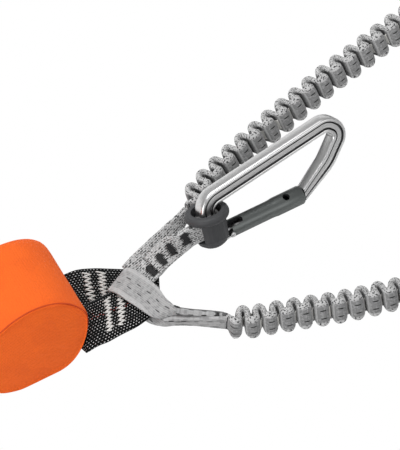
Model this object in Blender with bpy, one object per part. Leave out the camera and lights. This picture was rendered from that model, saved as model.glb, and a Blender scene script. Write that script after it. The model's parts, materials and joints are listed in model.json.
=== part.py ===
import math

import bmesh
import bpy
from mathutils import Matrix, Vector

# Via ferrata lanyard: a fabric pouch holding the folded tear webbing, a black
# front loop, two elastic arms with end connectors, and a short rest sling.
# Metres, +Z up. The origin is the middle of the pouch's flat base, and the
# floor is at z = 0.

# Driving dimensions
gap = 0.0003
cut_overrun = 0.004
floor_gap = 0.0004

pouch_middle = 0.0300
pouch_half = 0.0343
pouch_front = -0.0222
pouch_back = 0.0437
pouch_height = 0.0432
pouch_turn = 28.9
pouch_wall = 0.0022
panel_slope = 0.438
panel_crown = 0.0007
panel_thickness = 0.0014
slot_low = 0.0018
slot_high = 0.0118
slot_front = -0.0215
slot_back = 0.0286
slot_depth = 0.0150
harness_slot_back = 0.0092
tear_middle = 0.0120
tear_height = 0.0167

black_width = 0.025
black_thickness = 0.0020
tear_layers = 9
tear_fold_length = 0.030
tear_pitch = 0.0027

grey_width = 0.018
grey_thickness = 0.0018
sling_width = 0.0112
sling_thickness = 0.0016
sling_layer_gap = 0.0004

zip_height = 0.0090
zip_thickness = 0.0012
zip_middle_height = 0.022
zip_travel = 0.030
zip_half = 0.0240
slider_length = 0.0090
slider_height = 0.0065
slider_wall = 0.0012
bridge_room = 0.0018
pull_length = 0.0140
pull_thickness = 0.0010

arm_width = 0.0175
arm_thickness = 0.0050
arm_pitch = 0.0097
arm_wave = 0.0046
arm_bore_width = 0.0122
arm_bore_thickness = 0.0028
core_width = 0.0078
core_thickness = 0.0008
arm_lean = 55.0

pin_play = 0.0001
latch_gap = 0.0005

# The two arms lie along these hand-chosen points, in metres.
lower_arm_route = [
    (0.1380, 0.0247, 0.0103), (0.1458, 0.0246, 0.0102), (0.1544, 0.0254, 0.0102),
    (0.1630, 0.0272, 0.0102), (0.1729, 0.0290, 0.0102), (0.1823, 0.0308, 0.0102),
    (0.1914, 0.0324, 0.0102), (0.2014, 0.0343, 0.0102), (0.2111, 0.0365, 0.0102),
    (0.2209, 0.0391, 0.0102), (0.2307, 0.0418, 0.0102), (0.2470, 0.0455, 0.0102),
    (0.2600, 0.0464, 0.0102), (0.2730, 0.0448, 0.0102), (0.2855, 0.0400, 0.0102),
    (0.2965, 0.0320, 0.0102), (0.3055, 0.0210, 0.0102), (0.3115, 0.0080, 0.0102),
    (0.3140, -0.0060, 0.0102), (0.3130, -0.0200, 0.0102), (0.3085, -0.0340, 0.0102),
    (0.3010, -0.0470, 0.0102), (0.2910, -0.0585, 0.0101), (0.2790, -0.0685, 0.0100),
    (0.2655, -0.0770, 0.0099), (0.2510, -0.0840, 0.0098), (0.2360, -0.0895, 0.0098),
    (0.2205, -0.0935, 0.0098), (0.2050, -0.0965, 0.0098), (0.1900, -0.0985, 0.0098),
]
upper_arm_route = [
    (0.1164, 0.0972, 0.0106), (0.1215, 0.1048, 0.0103), (0.1292, 0.1153, 0.0102),
    (0.1373, 0.1248, 0.0102), (0.1457, 0.1337, 0.0102), (0.1537, 0.1420, 0.0102),
    (0.1623, 0.1507, 0.0102), (0.1711, 0.1594, 0.0102), (0.1793, 0.1674, 0.0102),
    (0.1948, 0.1822, 0.0102), (0.2025, 0.1891, 0.0102), (0.2103, 0.1957, 0.0102),
    (0.2178, 0.2024, 0.0102), (0.2254, 0.2091, 0.0102), (0.2327, 0.2158, 0.0102),
    (0.2409, 0.2224, 0.0102), (0.2520, 0.2315, 0.0102), (0.2645, 0.2400, 0.0102),
    (0.2785, 0.2465, 0.0102), (0.2935, 0.2500, 0.0102), (0.3090, 0.2495, 0.0102),
    (0.3235, 0.2450, 0.0102), (0.3365, 0.2370, 0.0102), (0.3475, 0.2260, 0.0102),
    (0.3560, 0.2125, 0.0101), (0.3615, 0.1975, 0.0100), (0.3645, 0.1820, 0.0099),
    (0.3660, 0.1660, 0.0098), (0.3665, 0.1500, 0.0098),
]

# Sizes of the rest carabiner and of the two end connectors
rest_sizes = {
    "gate_reach": 0.0502, "hinge_x": 0.0500, "hinge_y": 0.0061,
    "heel": 0.0589, "spine": 0.0323, "bow": 0.0294, "bow_low": 0.0228, "bow_out": 0.0368,
    "nose_run": 0.0213, "nose_rise": 0.0100, "nose_lift": 0.0004, "bow_bend": 0.0080,
    "low_bend": 0.0068, "nose_bend": 0.040, "heel_top_bend": 0.0086, "heel_low_bend": 0.0058,
    "bar_depth": 0.0094, "bar_thickness": 0.0088, "gate_radius": 0.0056,
    "nose_depth_share": 0.62, "nose_thickness_share": 0.78, "nose_taper": 0.0360, "heel_taper_share": 1.10,
    "web_width": 0.0112, "web_middle": 0.0176, "keeper_top": 0.0268, "keeper_base": 0.0040,
    "keeper_floor": 0.0054, "keeper_collar": 0.0024, "keeper_lean": 8.0, "keeper_cut_back": 0.0026,
    "keeper_room": 0.0010, "keeper_wall": 0.0012,
}
end_sizes = {
    "gate_reach": 0.0560, "hinge_x": 0.0550, "hinge_y": 0.0092,
    "heel": 0.0672, "spine": 0.0440, "bow": 0.0430, "bow_low": 0.0160, "bow_out": 0.0455,
    "nose_run": 0.0240, "nose_rise": 0.0040, "nose_lift": 0.0004, "bow_bend": 0.0160,
    "low_bend": 0.0070, "nose_bend": 0.040, "heel_top_bend": 0.0140, "heel_low_bend": 0.0062,
    "bar_depth": 0.0086, "bar_thickness": 0.0084, "gate_radius": 0.0058,
    "nose_depth_share": 0.74, "nose_thickness_share": 0.84, "nose_taper": 0.0360, "heel_taper_share": 0.55,
    "keeper_floor": 0.0043, "keeper_collar": 0.0020, "keeper_lean": 0.0, "keeper_cut_back": 0.0,
    "keeper_room": 0.0, "keeper_wall": 0.0017,
    "web_width": 0.0150, "web_middle": 0.0215, "keeper_top": 0.0320, "keeper_base": 0.0024,
}

# The rest carabiner's gate nose, and the way its plane lies
rest_nose_place = (0.18152, 0.10981, 0.0060)
rest_heading = 37.4
rest_tilt = 57.2

hinge_pin_radius = 0.0012
latch_pin_radius = 0.0010
latch_slot_width = 0.0036
fork_width = 0.0050
fork_length = 0.0085
tongue_depth = 0.0062
gate_bore_radius = 0.0032
gate_bore_reach = 0.0300
spring_wire = 0.00035
spring_turns = 6
follower_stem_radius = 0.0016
follower_head_length = 0.0030
hinge_drop = 0.0016
gate_tail = 0.0036

keeper_edge = 0.0017
web_slot_share = 0.66
web_bend = 0.0066
keeper_collar_height = 0.0048

end_loop_run = 0.036
end_loop_gap = 0.0006

lever_length = 0.062
lever_wall = 0.0016
lever_stand_off = 0.0042
lever_pivot_back = 0.0150
lever_pin_radius = 0.0015


# Helpers
def remove_everything():
    for old in list(bpy.data.objects):
        bpy.data.objects.remove(old, do_unlink=True)


def make_material(name, colour, roughness, metallic=0.0):
    material = bpy.data.materials.new(name)
    material.use_nodes = True
    shader = material.node_tree.nodes["Principled BSDF"]
    shader.inputs["Base Color"].default_value = (*colour, 1.0)
    shader.inputs["Roughness"].default_value = roughness
    shader.inputs["Metallic"].default_value = metallic
    return material


def finish_mesh(name, bm, material, place=None, parent=None, smooth_angle=40.0, outward=True):
    if outward:
        bmesh.ops.recalc_face_normals(bm, faces=bm.faces)
    mesh = bpy.data.meshes.new(name)
    bm.to_mesh(mesh)
    bm.free()
    mesh.materials.append(material)
    mesh.shade_smooth()
    mesh.set_sharp_from_angle(angle=math.radians(smooth_angle))
    piece = bpy.data.objects.new(name, mesh)
    bpy.context.scene.collection.objects.link(piece)
    if parent:
        piece.parent = parent
    if place:
        piece.location = place
    return piece


def as_cutter(piece):
    piece.hide_render = True
    piece.display_type = "WIRE"
    return piece


def cut(piece, cutter, operation="DIFFERENCE"):
    modifier = piece.modifiers.new(cutter.name, "BOOLEAN")
    modifier.operation = operation
    modifier.solver = "EXACT"
    modifier.object = cutter


def smooth_route(points, steps_between):
    """Points on one smooth curve through the given ones."""
    places = [Vector(p) for p in points]
    padded = [places[0] * 2 - places[1]] + places + [places[-1] * 2 - places[-2]]
    route = []
    for i in range(1, len(padded) - 2):
        before, here, there, after = padded[i - 1:i + 3]
        for k in range(steps_between):
            t = k / steps_between
            route.append(
                here + (there - before) * (t / 2)
                + (before * 2 - here * 5 + there * 4 - after) * (t * t / 2)
                + (here * 3 - before - there * 3 + after) * (t ** 3 / 2)
            )
    route.append(places[-1])
    return route


def evenly(points, count):
    """The same line with its points a constant distance apart."""
    lengths = [0.0]
    for a, b in zip(points, points[1:]):
        lengths.append(lengths[-1] + (b - a).length)
    found = []
    j = 0
    for i in range(count):
        want = lengths[-1] * i / (count - 1)
        while j < len(points) - 2 and lengths[j + 1] < want:
            j += 1
        span = lengths[j + 1] - lengths[j]
        t = (want - lengths[j]) / span if span else 0.0
        found.append(points[j].lerp(points[j + 1], t))
    return found


def route_length(points):
    return sum((b - a).length for a, b in zip(points, points[1:]))


def tangents(points):
    found = []
    for i in range(len(points)):
        a = points[max(i - 1, 0)]
        b = points[min(i + 1, len(points) - 1)]
        found.append((b - a).normalized())
    return found


def rounded_corners(corners, radii, steps):
    """A flat line through the corners, with an arc at each inner one."""
    line = [Vector(corners[0])]
    for i in range(1, len(corners) - 1):
        corner = Vector(corners[i])
        back = (Vector(corners[i - 1]) - corner).normalized()
        on = (Vector(corners[i + 1]) - corner).normalized()
        turn = math.pi - back.angle(on)
        run = radii[i - 1] * math.tan(turn / 2)
        middle = corner + (back + on).normalized() * (radii[i - 1] / math.cos(turn / 2))
        first = corner + back * run - middle
        last = corner + on * run - middle
        for k in range(steps + 1):
            t = k / steps
            arm = (first * math.sin((1 - t) * turn) + last * math.sin(t * turn)) / math.sin(turn)
            line.append(middle + arm)
    line.append(Vector(corners[-1]))
    return line


def sweep(bm, rings):
    """A closed skin over rings of points, with a face at each end."""
    made = [[bm.verts.new(p) for p in ring] for ring in rings]
    for ring, after in zip(made, made[1:]):
        for i in range(len(ring)):
            j = (i + 1) % len(ring)
            bm.faces.new((ring[i], ring[j], after[j], after[i]))
    bm.faces.new(list(reversed(made[0])))
    bm.faces.new(made[-1])


def ribbon(name, points, sides, widths, thickness, material):
    """Webbing along the points; sides give its width's direction at each."""
    bm = bmesh.new()
    rings = []
    for point, along, side, width in zip(points, tangents(points), sides, widths):
        side = side.normalized()
        face = along.cross(side).normalized()
        half = width / 2
        thick = thickness / 2
        edge = half - thick / 2
        rings.append([
            point + side * half,
            point + side * edge + face * thick,
            point - side * edge + face * thick,
            point - side * half,
            point - side * edge - face * thick,
            point + side * edge - face * thick,
        ])
    sweep(bm, rings)
    return finish_mesh(name, bm, material)


def spread(values, count):
    """Values read evenly along a list of numbers or vectors."""
    found = []
    for i in range(count):
        t = (len(values) - 1) * i / (count - 1)
        j = min(int(t), len(values) - 2)
        found.append(values[j] * (1 - (t - j)) + values[j + 1] * (t - j))
    return found


def routed_ribbon(name, stations, thickness, material, steps=3):
    """A ribbon from stations of (place, side, width)."""
    points = smooth_route([s[0] for s in stations], steps)
    count = len(points)
    sides = spread([Vector(s[1]) for s in stations], count)
    widths = spread([s[2] for s in stations], count)
    return ribbon(name, points, sides, widths, thickness, material)


def turned(bm, outline, sides, along="X"):
    """A solid of revolution about X or Y from (distance along, radius)."""
    rings = []
    for reach, radius in outline:
        ring = []
        for k in range(sides):
            angle = math.tau * (k + 0.5) / sides
            a = radius * math.cos(angle)
            b = radius * math.sin(angle)
            ring.append(Vector((reach, a, b)) if along == "X" else Vector((a, reach, b)))
        rings.append(ring)
    sweep(bm, rings)


def prism(bm, outline, low, high):
    """An outline in X and Y, extruded along Z."""
    sweep(bm, [[Vector((x, y, low)) for x, y in outline], [Vector((x, y, high)) for x, y in outline]])


def block(bm, low, high):
    x0, y0, z0 = low
    x1, y1, z1 = high
    prism(bm, [(x0, y0), (x1, y0), (x1, y1), (x0, y1)], z0, z1)


def pin(bm, x, y, half_length, radius, sides=12):
    ring = [(x + radius * math.cos(math.tau * k / sides), y + radius * math.sin(math.tau * k / sides))
            for k in range(sides)]
    prism(bm, ring, -half_length, half_length)


def empty(name, matrix):
    anchor = bpy.data.objects.new(name, None)
    anchor.matrix_world = matrix
    bpy.context.scene.collection.objects.link(anchor)
    return anchor


# Pouch
# The front panel's outline: shares of the half length from the middle, and of the height
panel_shares = [
    (0.00, 0.000), (0.34, 0.004), (0.56, 0.055), (0.74, 0.155), (0.86, 0.275), (0.945, 0.395),
    (1.000, 0.545), (0.985, 0.635), (0.905, 0.735), (0.770, 0.845), (0.585, 0.932), (0.355, 0.985),
    (0.110, 1.000), (-0.185, 0.972), (-0.460, 0.905), (-0.700, 0.810), (-0.890, 0.690), (-0.985, 0.560),
    (-1.000, 0.400), (-0.940, 0.215), (-0.770, 0.085), (-0.500, 0.015), (-0.30, 0.000),
]
# Shares of the way from front to back, and of the outline's size there
depth_shares = [(0.000, 0.975), (0.022, 0.998), (0.060, 1.000), (0.500, 1.000), (0.860, 0.992),
                (0.955, 0.945),
                (1.000, 0.850)]


def panel_front(height):
    return pouch_front + panel_slope * height


def pouch_ring(share, size, inset, draw=0.0):
    """One outline of the pouch: behind the panel its base keeps to the floor."""
    half = pouch_half * size - inset
    middle = pouch_height / 2
    tall = middle * size - inset
    ring = []
    for across, up in panel_shares:
        x = pouch_middle + across * half
        z = middle + (2 * up - 1) * tall
        if up < 0.5 and not draw:
            z -= (middle - tall - inset) * (1 - 2 * up)
        front = panel_front(z) - draw + (panel_thickness if inset else 0.0)
        ring.append(Vector((x, front + (pouch_back - inset - front) * share, z)))
    return ring


def loaf(bm, inset):
    """The pouch's closed shape, drawn in by the inset."""
    rings = [pouch_ring(0.0, 0.55, inset, panel_crown), pouch_ring(0.0, 0.85, inset, panel_crown * 0.7)]
    rings += [pouch_ring(share, size, inset) for share, size in depth_shares]
    sweep(bm, rings)


def build_pouch(anchor, orange):
    bm = bmesh.new()
    loaf(bm, 0.0)
    body = finish_mesh("pouch_body", bm, orange, parent=anchor)
    bm = bmesh.new()
    loaf(bm, 0.0)
    panel = finish_mesh("pouch_front_panel", bm, orange, parent=anchor)
    bm = bmesh.new()
    loaf(bm, pouch_wall)
    hollow = as_cutter(finish_mesh("pouch_hollow", bm, orange, parent=anchor))
    # A sloping slab divides the front panel from the body just behind its seam.
    left = pouch_middle - pouch_half - cut_overrun
    right = pouch_middle + pouch_half + cut_overrun
    low = -cut_overrun
    high = pouch_height + cut_overrun
    for name, back, piece, operation in (("panel_space", panel_thickness + gap, body, "DIFFERENCE"),
                                         ("panel_slab", panel_thickness, panel, "INTERSECT")):
        bm = bmesh.new()
        slab = [(panel_front(low) + back, low), (panel_front(high) + back, high),
                (panel_front(high) - cut_overrun, high), (panel_front(low) - cut_overrun, low)]
        sweep(bm, [[Vector((x, y, z)) for y, z in slab] for x in (left, right)])
        cut(piece, as_cutter(finish_mesh(name, bm, orange, parent=anchor)), operation)
    # Webbing leaves through a wide slot low in each end.
    bm = bmesh.new()
    block(bm, (right - cut_overrun - slot_depth, slot_front, slot_low), (right, slot_back, slot_high))
    front_slot = as_cutter(finish_mesh("front_slot", bm, orange, parent=anchor))
    bm = bmesh.new()
    block(bm, (left, slot_front, slot_low), (left + cut_overrun + slot_depth, harness_slot_back, slot_high))
    rear_slot = as_cutter(finish_mesh("rear_slot", bm, orange, parent=anchor))
    for cutter in (hollow, front_slot, rear_slot):
        cut(body, cutter)


def build_zip(anchor, dark, metal):
    """A zip along the back wall, with its slider and pull."""
    low = zip_middle_height - zip_height / 2
    rib = zip_thickness
    tooth = zip_height / 8
    middle = zip_height / 2
    section = [(0.0, 0.0), (rib, 0.0), (rib, middle - tooth), (2 * rib, middle - tooth / 2),
               (2 * rib, middle + tooth / 2), (rib, middle + tooth), (rib, zip_height), (0.0, zip_height)]
    wall = pouch_back + gap
    bm = bmesh.new()
    ends = (pouch_middle - zip_half, pouch_middle + zip_half)
    sweep(bm, [[Vector((x, wall + y, low + z)) for y, z in section] for x in ends])
    finish_mesh("zip_tape", bm, dark, parent=anchor)

    # The slider straddles the chain of teeth, and its bridge holds the pull.
    place = (pouch_middle - zip_travel / 2, wall, zip_middle_height)
    face = rib + gap
    top = 2 * rib + gap
    roof = top + slider_wall
    tall = slider_height / 2
    slider_half = slider_length / 2
    section = [(face, -tall), (roof, -tall), (roof, tall), (face, tall),
               (face, tooth + gap), (top, tooth + gap), (top, -tooth - gap), (face, -tooth - gap)]
    bm = bmesh.new()
    sweep(bm, [[Vector((x, y, z)) for y, z in section] for x in (-slider_half, slider_half)])
    slider = finish_mesh("zip_slider", bm, metal, place, anchor)
    leg = slider_half / 2
    arm = slider_wall
    arch = [(-leg, -arm / 2), (-leg, bridge_room + arm), (leg, bridge_room + arm), (leg, -arm / 2),
            (leg - arm, -arm / 2), (leg - arm, bridge_room), (arm - leg, bridge_room), (arm - leg, -arm / 2)]
    bm = bmesh.new()
    sweep(bm, [[Vector((x, roof + y, z)) for x, y in arch] for z in (-arm / 2, arm / 2)])
    cut(slider, as_cutter(finish_mesh("slider_bridge", bm, metal, place, anchor)), "UNION")

    # The pull's cross bar lies under the bridge and turns about its own middle.
    axis = (place[0], place[1] + roof + bridge_room / 2, place[2])
    bar = pull_thickness / 2
    rail = arm / 2 + gap
    wide = rail + slider_wall
    bm = bmesh.new()
    block(bm, (-pull_length, -bar, -wide), (bar, bar, wide))
    pull = finish_mesh("zip_pull", bm, metal, axis, anchor)
    bm = bmesh.new()
    block(bm, (-leg - arm, -cut_overrun, -rail), (-bar, cut_overrun, rail))
    cut(pull, as_cutter(finish_mesh("pull_window", bm, metal, axis, anchor)))


# Black webbing
def build_absorber(anchor, black):
    """The tear webbing folded in layers, standing on edge inside the pouch."""
    half = tear_fold_length / 2
    first = -tear_pitch * (tear_layers - 1) / 2
    points = []
    for layer in range(tear_layers):
        y = first + layer * tear_pitch
        way = 1 if layer % 2 == 0 else -1
        points.append(Vector((-way * half, y, 0.0)))
        points.append(Vector((way * half, y, 0.0)))
        if layer < tear_layers - 1:
            bend = tear_pitch / 2
            for angle in (45, 90, 135):
                turn = math.radians(angle)
                out = way * (half + bend * math.sin(turn))
                points.append(Vector((out, y + bend * (1 - math.cos(turn)), 0.0)))
    count = len(points)
    pack = ribbon("tear_webbing", points, [Vector((0, 0, 1))] * count, [black_width] * count,
                  black_thickness, black)
    pack.parent = anchor
    pack.location = (pouch_middle, tear_middle, tear_height)


def build_harness_loop(anchor, black):
    """The tie-in eye: a flat strap out of the pouch's left end, over and back in."""
    across = (0.0, 1.0, 0.0)
    # Shares of the pouch's half length along it, across it and up, then of the webbing's width
    place_shares = [
        (0.330, -0.110, 0.146, 0.70), (0.250, -0.130, 0.134, 0.74), (0.160, -0.185, 0.104, 0.84),
        (0.050, -0.262, 0.062, 0.96), (-0.100, -0.330, 0.042, 1.0), (-0.400, -0.370, 0.038, 1.0),
        (-0.900, -0.370, 0.038, 1.0), (-1.300, -0.370, 0.055, 1.0), (-1.560, -0.370, 0.150, 1.0),
        (-1.650, -0.370, 0.310, 1.0), (-1.590, -0.370, 0.480, 1.0), (-1.380, -0.370, 0.570, 1.0),
        (-1.050, -0.370, 0.550, 1.0), (-0.700, -0.370, 0.440, 1.0), (-0.380, -0.350, 0.320, 1.0),
        (-0.120, -0.250, 0.235, 0.86), (0.060, -0.155, 0.208, 0.70), (0.200, -0.110, 0.212, 0.66),
        (0.330, -0.100, 0.220, 0.64),
    ]
    table = [(place[:3], across, place[3]) for place in place_shares]
    loop = routed_ribbon("harness_loop", stations(table, pouch_half, black_width), black_thickness, black, 2)
    loop.parent = anchor


# Places of the webbing round the junction, as shares of its reach from the origin
junction_reach = 0.100


def stations(table, unit, width):
    return [(Vector(place) * unit, side, share * width) for place, side, share in table]


def build_front_loop(black):
    """One black strap: out of the pouch below, back over itself and in again."""
    back = (-0.12, 0.99, 0.0)
    level = (-0.03, 1.0, 0.0)
    fold = (-0.05, 1.0, 0.0)
    front = (-0.62, 0.78, 0.0)
    place_shares = [
        ((0.385, 0.395, 0.062), (-0.40, 0.91, 0.0), 0.80),
        ((0.470, 0.440, 0.060), (-0.30, 0.95, 0.0), 0.94),
        ((0.550, 0.480, 0.052), back, 1.0), ((0.640, 0.503, 0.030), back, 1.0),
        ((0.730, 0.508, 0.016), level, 1.0),
        ((0.840, 0.504, 0.015), level, 1.0), ((0.930, 0.501, 0.015), fold, 1.0),
        ((0.972, 0.500, 0.0165), fold, 1.0),
        ((0.994, 0.500, 0.028), fold, 1.0), ((0.998, 0.500, 0.040), fold, 1.0),
        ((0.991, 0.498, 0.053), fold, 1.0),
        ((0.968, 0.470, 0.0635), (-0.30, 0.95, 0.0), 0.95),
        ((0.930, 0.426, 0.065), (-0.50, 0.86, 0.0), 0.90),
        ((0.888, 0.378, 0.066), front, 0.88), ((0.829, 0.323, 0.068), front, 0.88),
        ((0.755, 0.283, 0.074), (-0.55, 0.83, 0.0), 1.0), ((0.690, 0.238, 0.084), (-0.40, 0.91, 0.05), 1.0),
        ((0.640, 0.213, 0.087), (-0.25, 0.96, 0.12), 1.0),
        ((0.590, 0.197, 0.085), (-0.14, 0.97, 0.18), 1.0),
        ((0.545, 0.184, 0.074), (-0.45, 0.87, 0.16), 0.90),
        ((0.500, 0.183, 0.066), (-0.69, 0.73, 0.14), 0.72),
    ]
    route = stations(place_shares, junction_reach, black_width)
    routed_ribbon("front_loop", route, black_thickness, black, 2)


def build_lower_arm_loop(grey):
    """The grey strap round the front leg, with both of its ends at the lower arm."""
    flat = (0.56, 0.83, 0.0)
    edge = (0.0, -0.30, 0.95)
    place_shares = [
        ((1.373, 0.262, 0.1080), (0.0, 0.10, 0.99), 0.66),
        ((1.290, 0.272, 0.1150), (0.0, -0.10, 0.99), 0.54),
        ((1.190, 0.284, 0.1180), edge, 0.42), ((1.110, 0.300, 0.1180), edge, 0.38),
        ((1.065, 0.306, 0.1160), (0.4, 0.40, 0.70), 0.52),
        ((1.010, 0.330, 0.1135), (0.57, 0.80, 0.2), 0.72),
        ((0.949, 0.393, 0.1135), flat, 0.96), ((0.880, 0.450, 0.1135), flat, 1.02),
        ((0.818, 0.499, 0.1095), flat, 1.02), ((0.770, 0.528, 0.0745), flat, 0.98),
        ((0.820, 0.490, 0.0415), flat, 0.90), ((0.885, 0.410, 0.0385), (0.60, 0.80, 0.0), 0.70),
        ((0.945, 0.330, 0.0385), (0.66, 0.75, 0.0), 0.50),
        ((0.995, 0.272, 0.0430), (0.60, 0.70, 0.3), 0.34),
        ((1.040, 0.244, 0.0600), (0.1, 0.20, 0.95), 0.30), ((1.100, 0.236, 0.0760), (0.0, 0.0, 1.0), 0.36),
        ((1.190, 0.234, 0.0860), (0.0, 0.0, 1.0), 0.44), ((1.290, 0.233, 0.0920), (0.0, 0.10, 0.98), 0.62),
        ((1.373, 0.231, 0.0980), (0.0, 0.10, 0.97), 0.86),
    ]
    route = stations(place_shares, junction_reach, grey_width)
    routed_ribbon("lower_arm_loop", route, grey_thickness, grey, 2)


def build_upper_arm_loop(grey):
    """Two layers with a hairpin at the junction, sewn up to the arm's root."""
    lean = (-0.35, 0.37, 0.86)
    offset = (sling_thickness + sling_layer_gap) / 2
    place_shares = [
        ((1.158, 0.958, 0.104), lean, 1.0), ((1.128, 0.900, 0.098), lean, 0.95),
        ((1.068, 0.818, 0.090), lean, 0.85), ((0.992, 0.735, 0.083), lean, 0.80),
        ((0.930, 0.676, 0.080), lean, 0.75), ((0.886, 0.638, 0.077), lean, 0.70),
        ((0.868, 0.622, 0.075), lean, 0.66),
    ]
    middle = smooth_route([Vector(s[0]) * junction_reach for s in place_shares], 3)
    count = len(middle)
    sides = spread([Vector(s[1]) for s in place_shares], count)
    widths = spread([s[2] * sling_width * 1.15 for s in place_shares], count)
    way = tangents(middle)
    faces = [t.cross((s - t * s.dot(t)).normalized()) for t, s in zip(way, sides)]
    out = [p + f * offset for p, f in zip(middle, faces)]
    back = [p - f * offset for p, f in zip(middle, faces)]
    tip = middle[-1]
    turn = []
    for degrees in (45, 90, 135):
        angle = math.radians(degrees)
        turn.append(tip + (way[-1] * math.sin(angle) + faces[-1] * math.cos(angle)) * offset)
    route = out + turn + back[::-1]
    all_sides = sides + [sides[-1]] * 3 + sides[::-1]
    all_widths = widths + [widths[-1]] * 3 + widths[::-1]
    ribbon("upper_arm_loop", route, all_sides, all_widths, sling_thickness, grey)


# Carabiners
def frame_at(nose, heading, tilt, pitch=0.0):
    """The carabiner's frame: X along it, Y towards its spine, Z out of its face."""
    turn = Matrix.Rotation(math.radians(heading), 4, "Z")
    dip = Matrix.Rotation(math.radians(pitch), 4, "Y")
    roll = Matrix.Rotation(math.radians(tilt), 4, "X")
    return Matrix.Translation(nose) @ turn @ dip @ roll


def bar_outline(size):
    """The bar's middle line, from the nose round the bow, spine and heel to the hinge."""
    corners = [
        (latch_gap, size["nose_lift"]), (size["nose_run"], size["nose_rise"]),
        (size["bow_out"], size["bow_low"]), (size["bow"], size["spine"]),
        (-size["heel"], size["spine"]), (-size["heel"], size["hinge_y"]),
        (-size["hinge_x"], size["hinge_y"]),
    ]
    radii = [size["nose_bend"] * 0.5, size["low_bend"], size["bow_bend"], size["heel_top_bend"],
             size["heel_low_bend"]]
    return rounded_corners(corners, radii, 5)


def bar_ring(point, along, depth, thickness, groove):
    """An I section: across the bar in its plane, and through its thickness."""
    side = Vector((-along.y, along.x, 0.0))
    d = depth / 2
    t = thickness / 2
    quarter = [(1.0, 0.0), (0.97, 0.70), (0.76, 1.0), (0.54, 1.0), (0.40, 1.0 - groove)]
    points = []
    for across, up in quarter:
        points.append((across, up))
    for across, up in reversed(quarter):
        points.append((-across, up))
    lower = [(-x, -y) for x, y in points[1:-1]]
    outline = points + lower
    return [Vector((point.x, point.y, 0.0)) + side * (x * d) + Vector((0.0, 0.0, y * t)) for x, y in outline]


def build_bar(prefix, size, anchor, metal, lever=False):
    line = bar_outline(size)
    way = tangents(line)
    gate_way = Vector((size["hinge_x"], -size["hinge_y"] - hinge_drop)).normalized()
    way[0] = gate_way
    total = route_length(line)
    taper = size["heel"] - size["hinge_x"]
    rings = []
    gone = 0.0
    for i, (point, along) in enumerate(zip(line, way)):
        if i:
            gone += (point - line[i - 1]).length
        left = total - gone
        share = min(1.0, max(0.0, (left - taper * 0.50) / (taper * size["heel_taper_share"])))
        nose_share = min(1.0, gone / size["nose_taper"])
        depth_share = size["nose_depth_share"] * (1 - nose_share) + nose_share
        thickness_share = size["nose_thickness_share"] * (1 - nose_share) + nose_share
        full_depth = size["bar_depth"] * depth_share
        full_thickness = size["bar_thickness"] * thickness_share
        depth = tongue_depth + (full_depth - tongue_depth) * share
        thickness = fork_width - 2 * gap + (full_thickness - fork_width + 2 * gap) * share
        groove = 0.42 * min(share, gone / size["bar_depth"] if gone < size["bar_depth"] else 1.0)
        rings.append(bar_ring(point, along, depth, thickness, groove))
    last = line[-1]
    for reach, width in ((0.62, 0.78), (0.95, 0.36)):
        rings.append(bar_ring(last + Vector((tongue_depth / 2 * reach, 0.0)), Vector((1.0, 0.0)),
                              tongue_depth * width, fork_width - 2 * gap, 0.0))
    bm = bmesh.new()
    sweep(bm, rings)
    bar = finish_mesh(prefix + "_body", bm, metal, parent=anchor)
    bm = bmesh.new()
    pin(bm, -size["hinge_x"], size["hinge_y"], size["bar_thickness"], hinge_pin_radius + pin_play)
    hole = as_cutter(finish_mesh(prefix + "_hinge_hole", bm, metal, parent=anchor))
    cut(bar, hole)
    if lever:
        bm = bmesh.new()
        pin(bm, size["bow"] - lever_pivot_back - size["bow_bend"], size["spine"], size["bar_thickness"],
            lever_pin_radius + pin_play)
        cut(bar, as_cutter(finish_mesh(prefix + "_lever_hole", bm, metal, parent=anchor)))
    return bar


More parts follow.
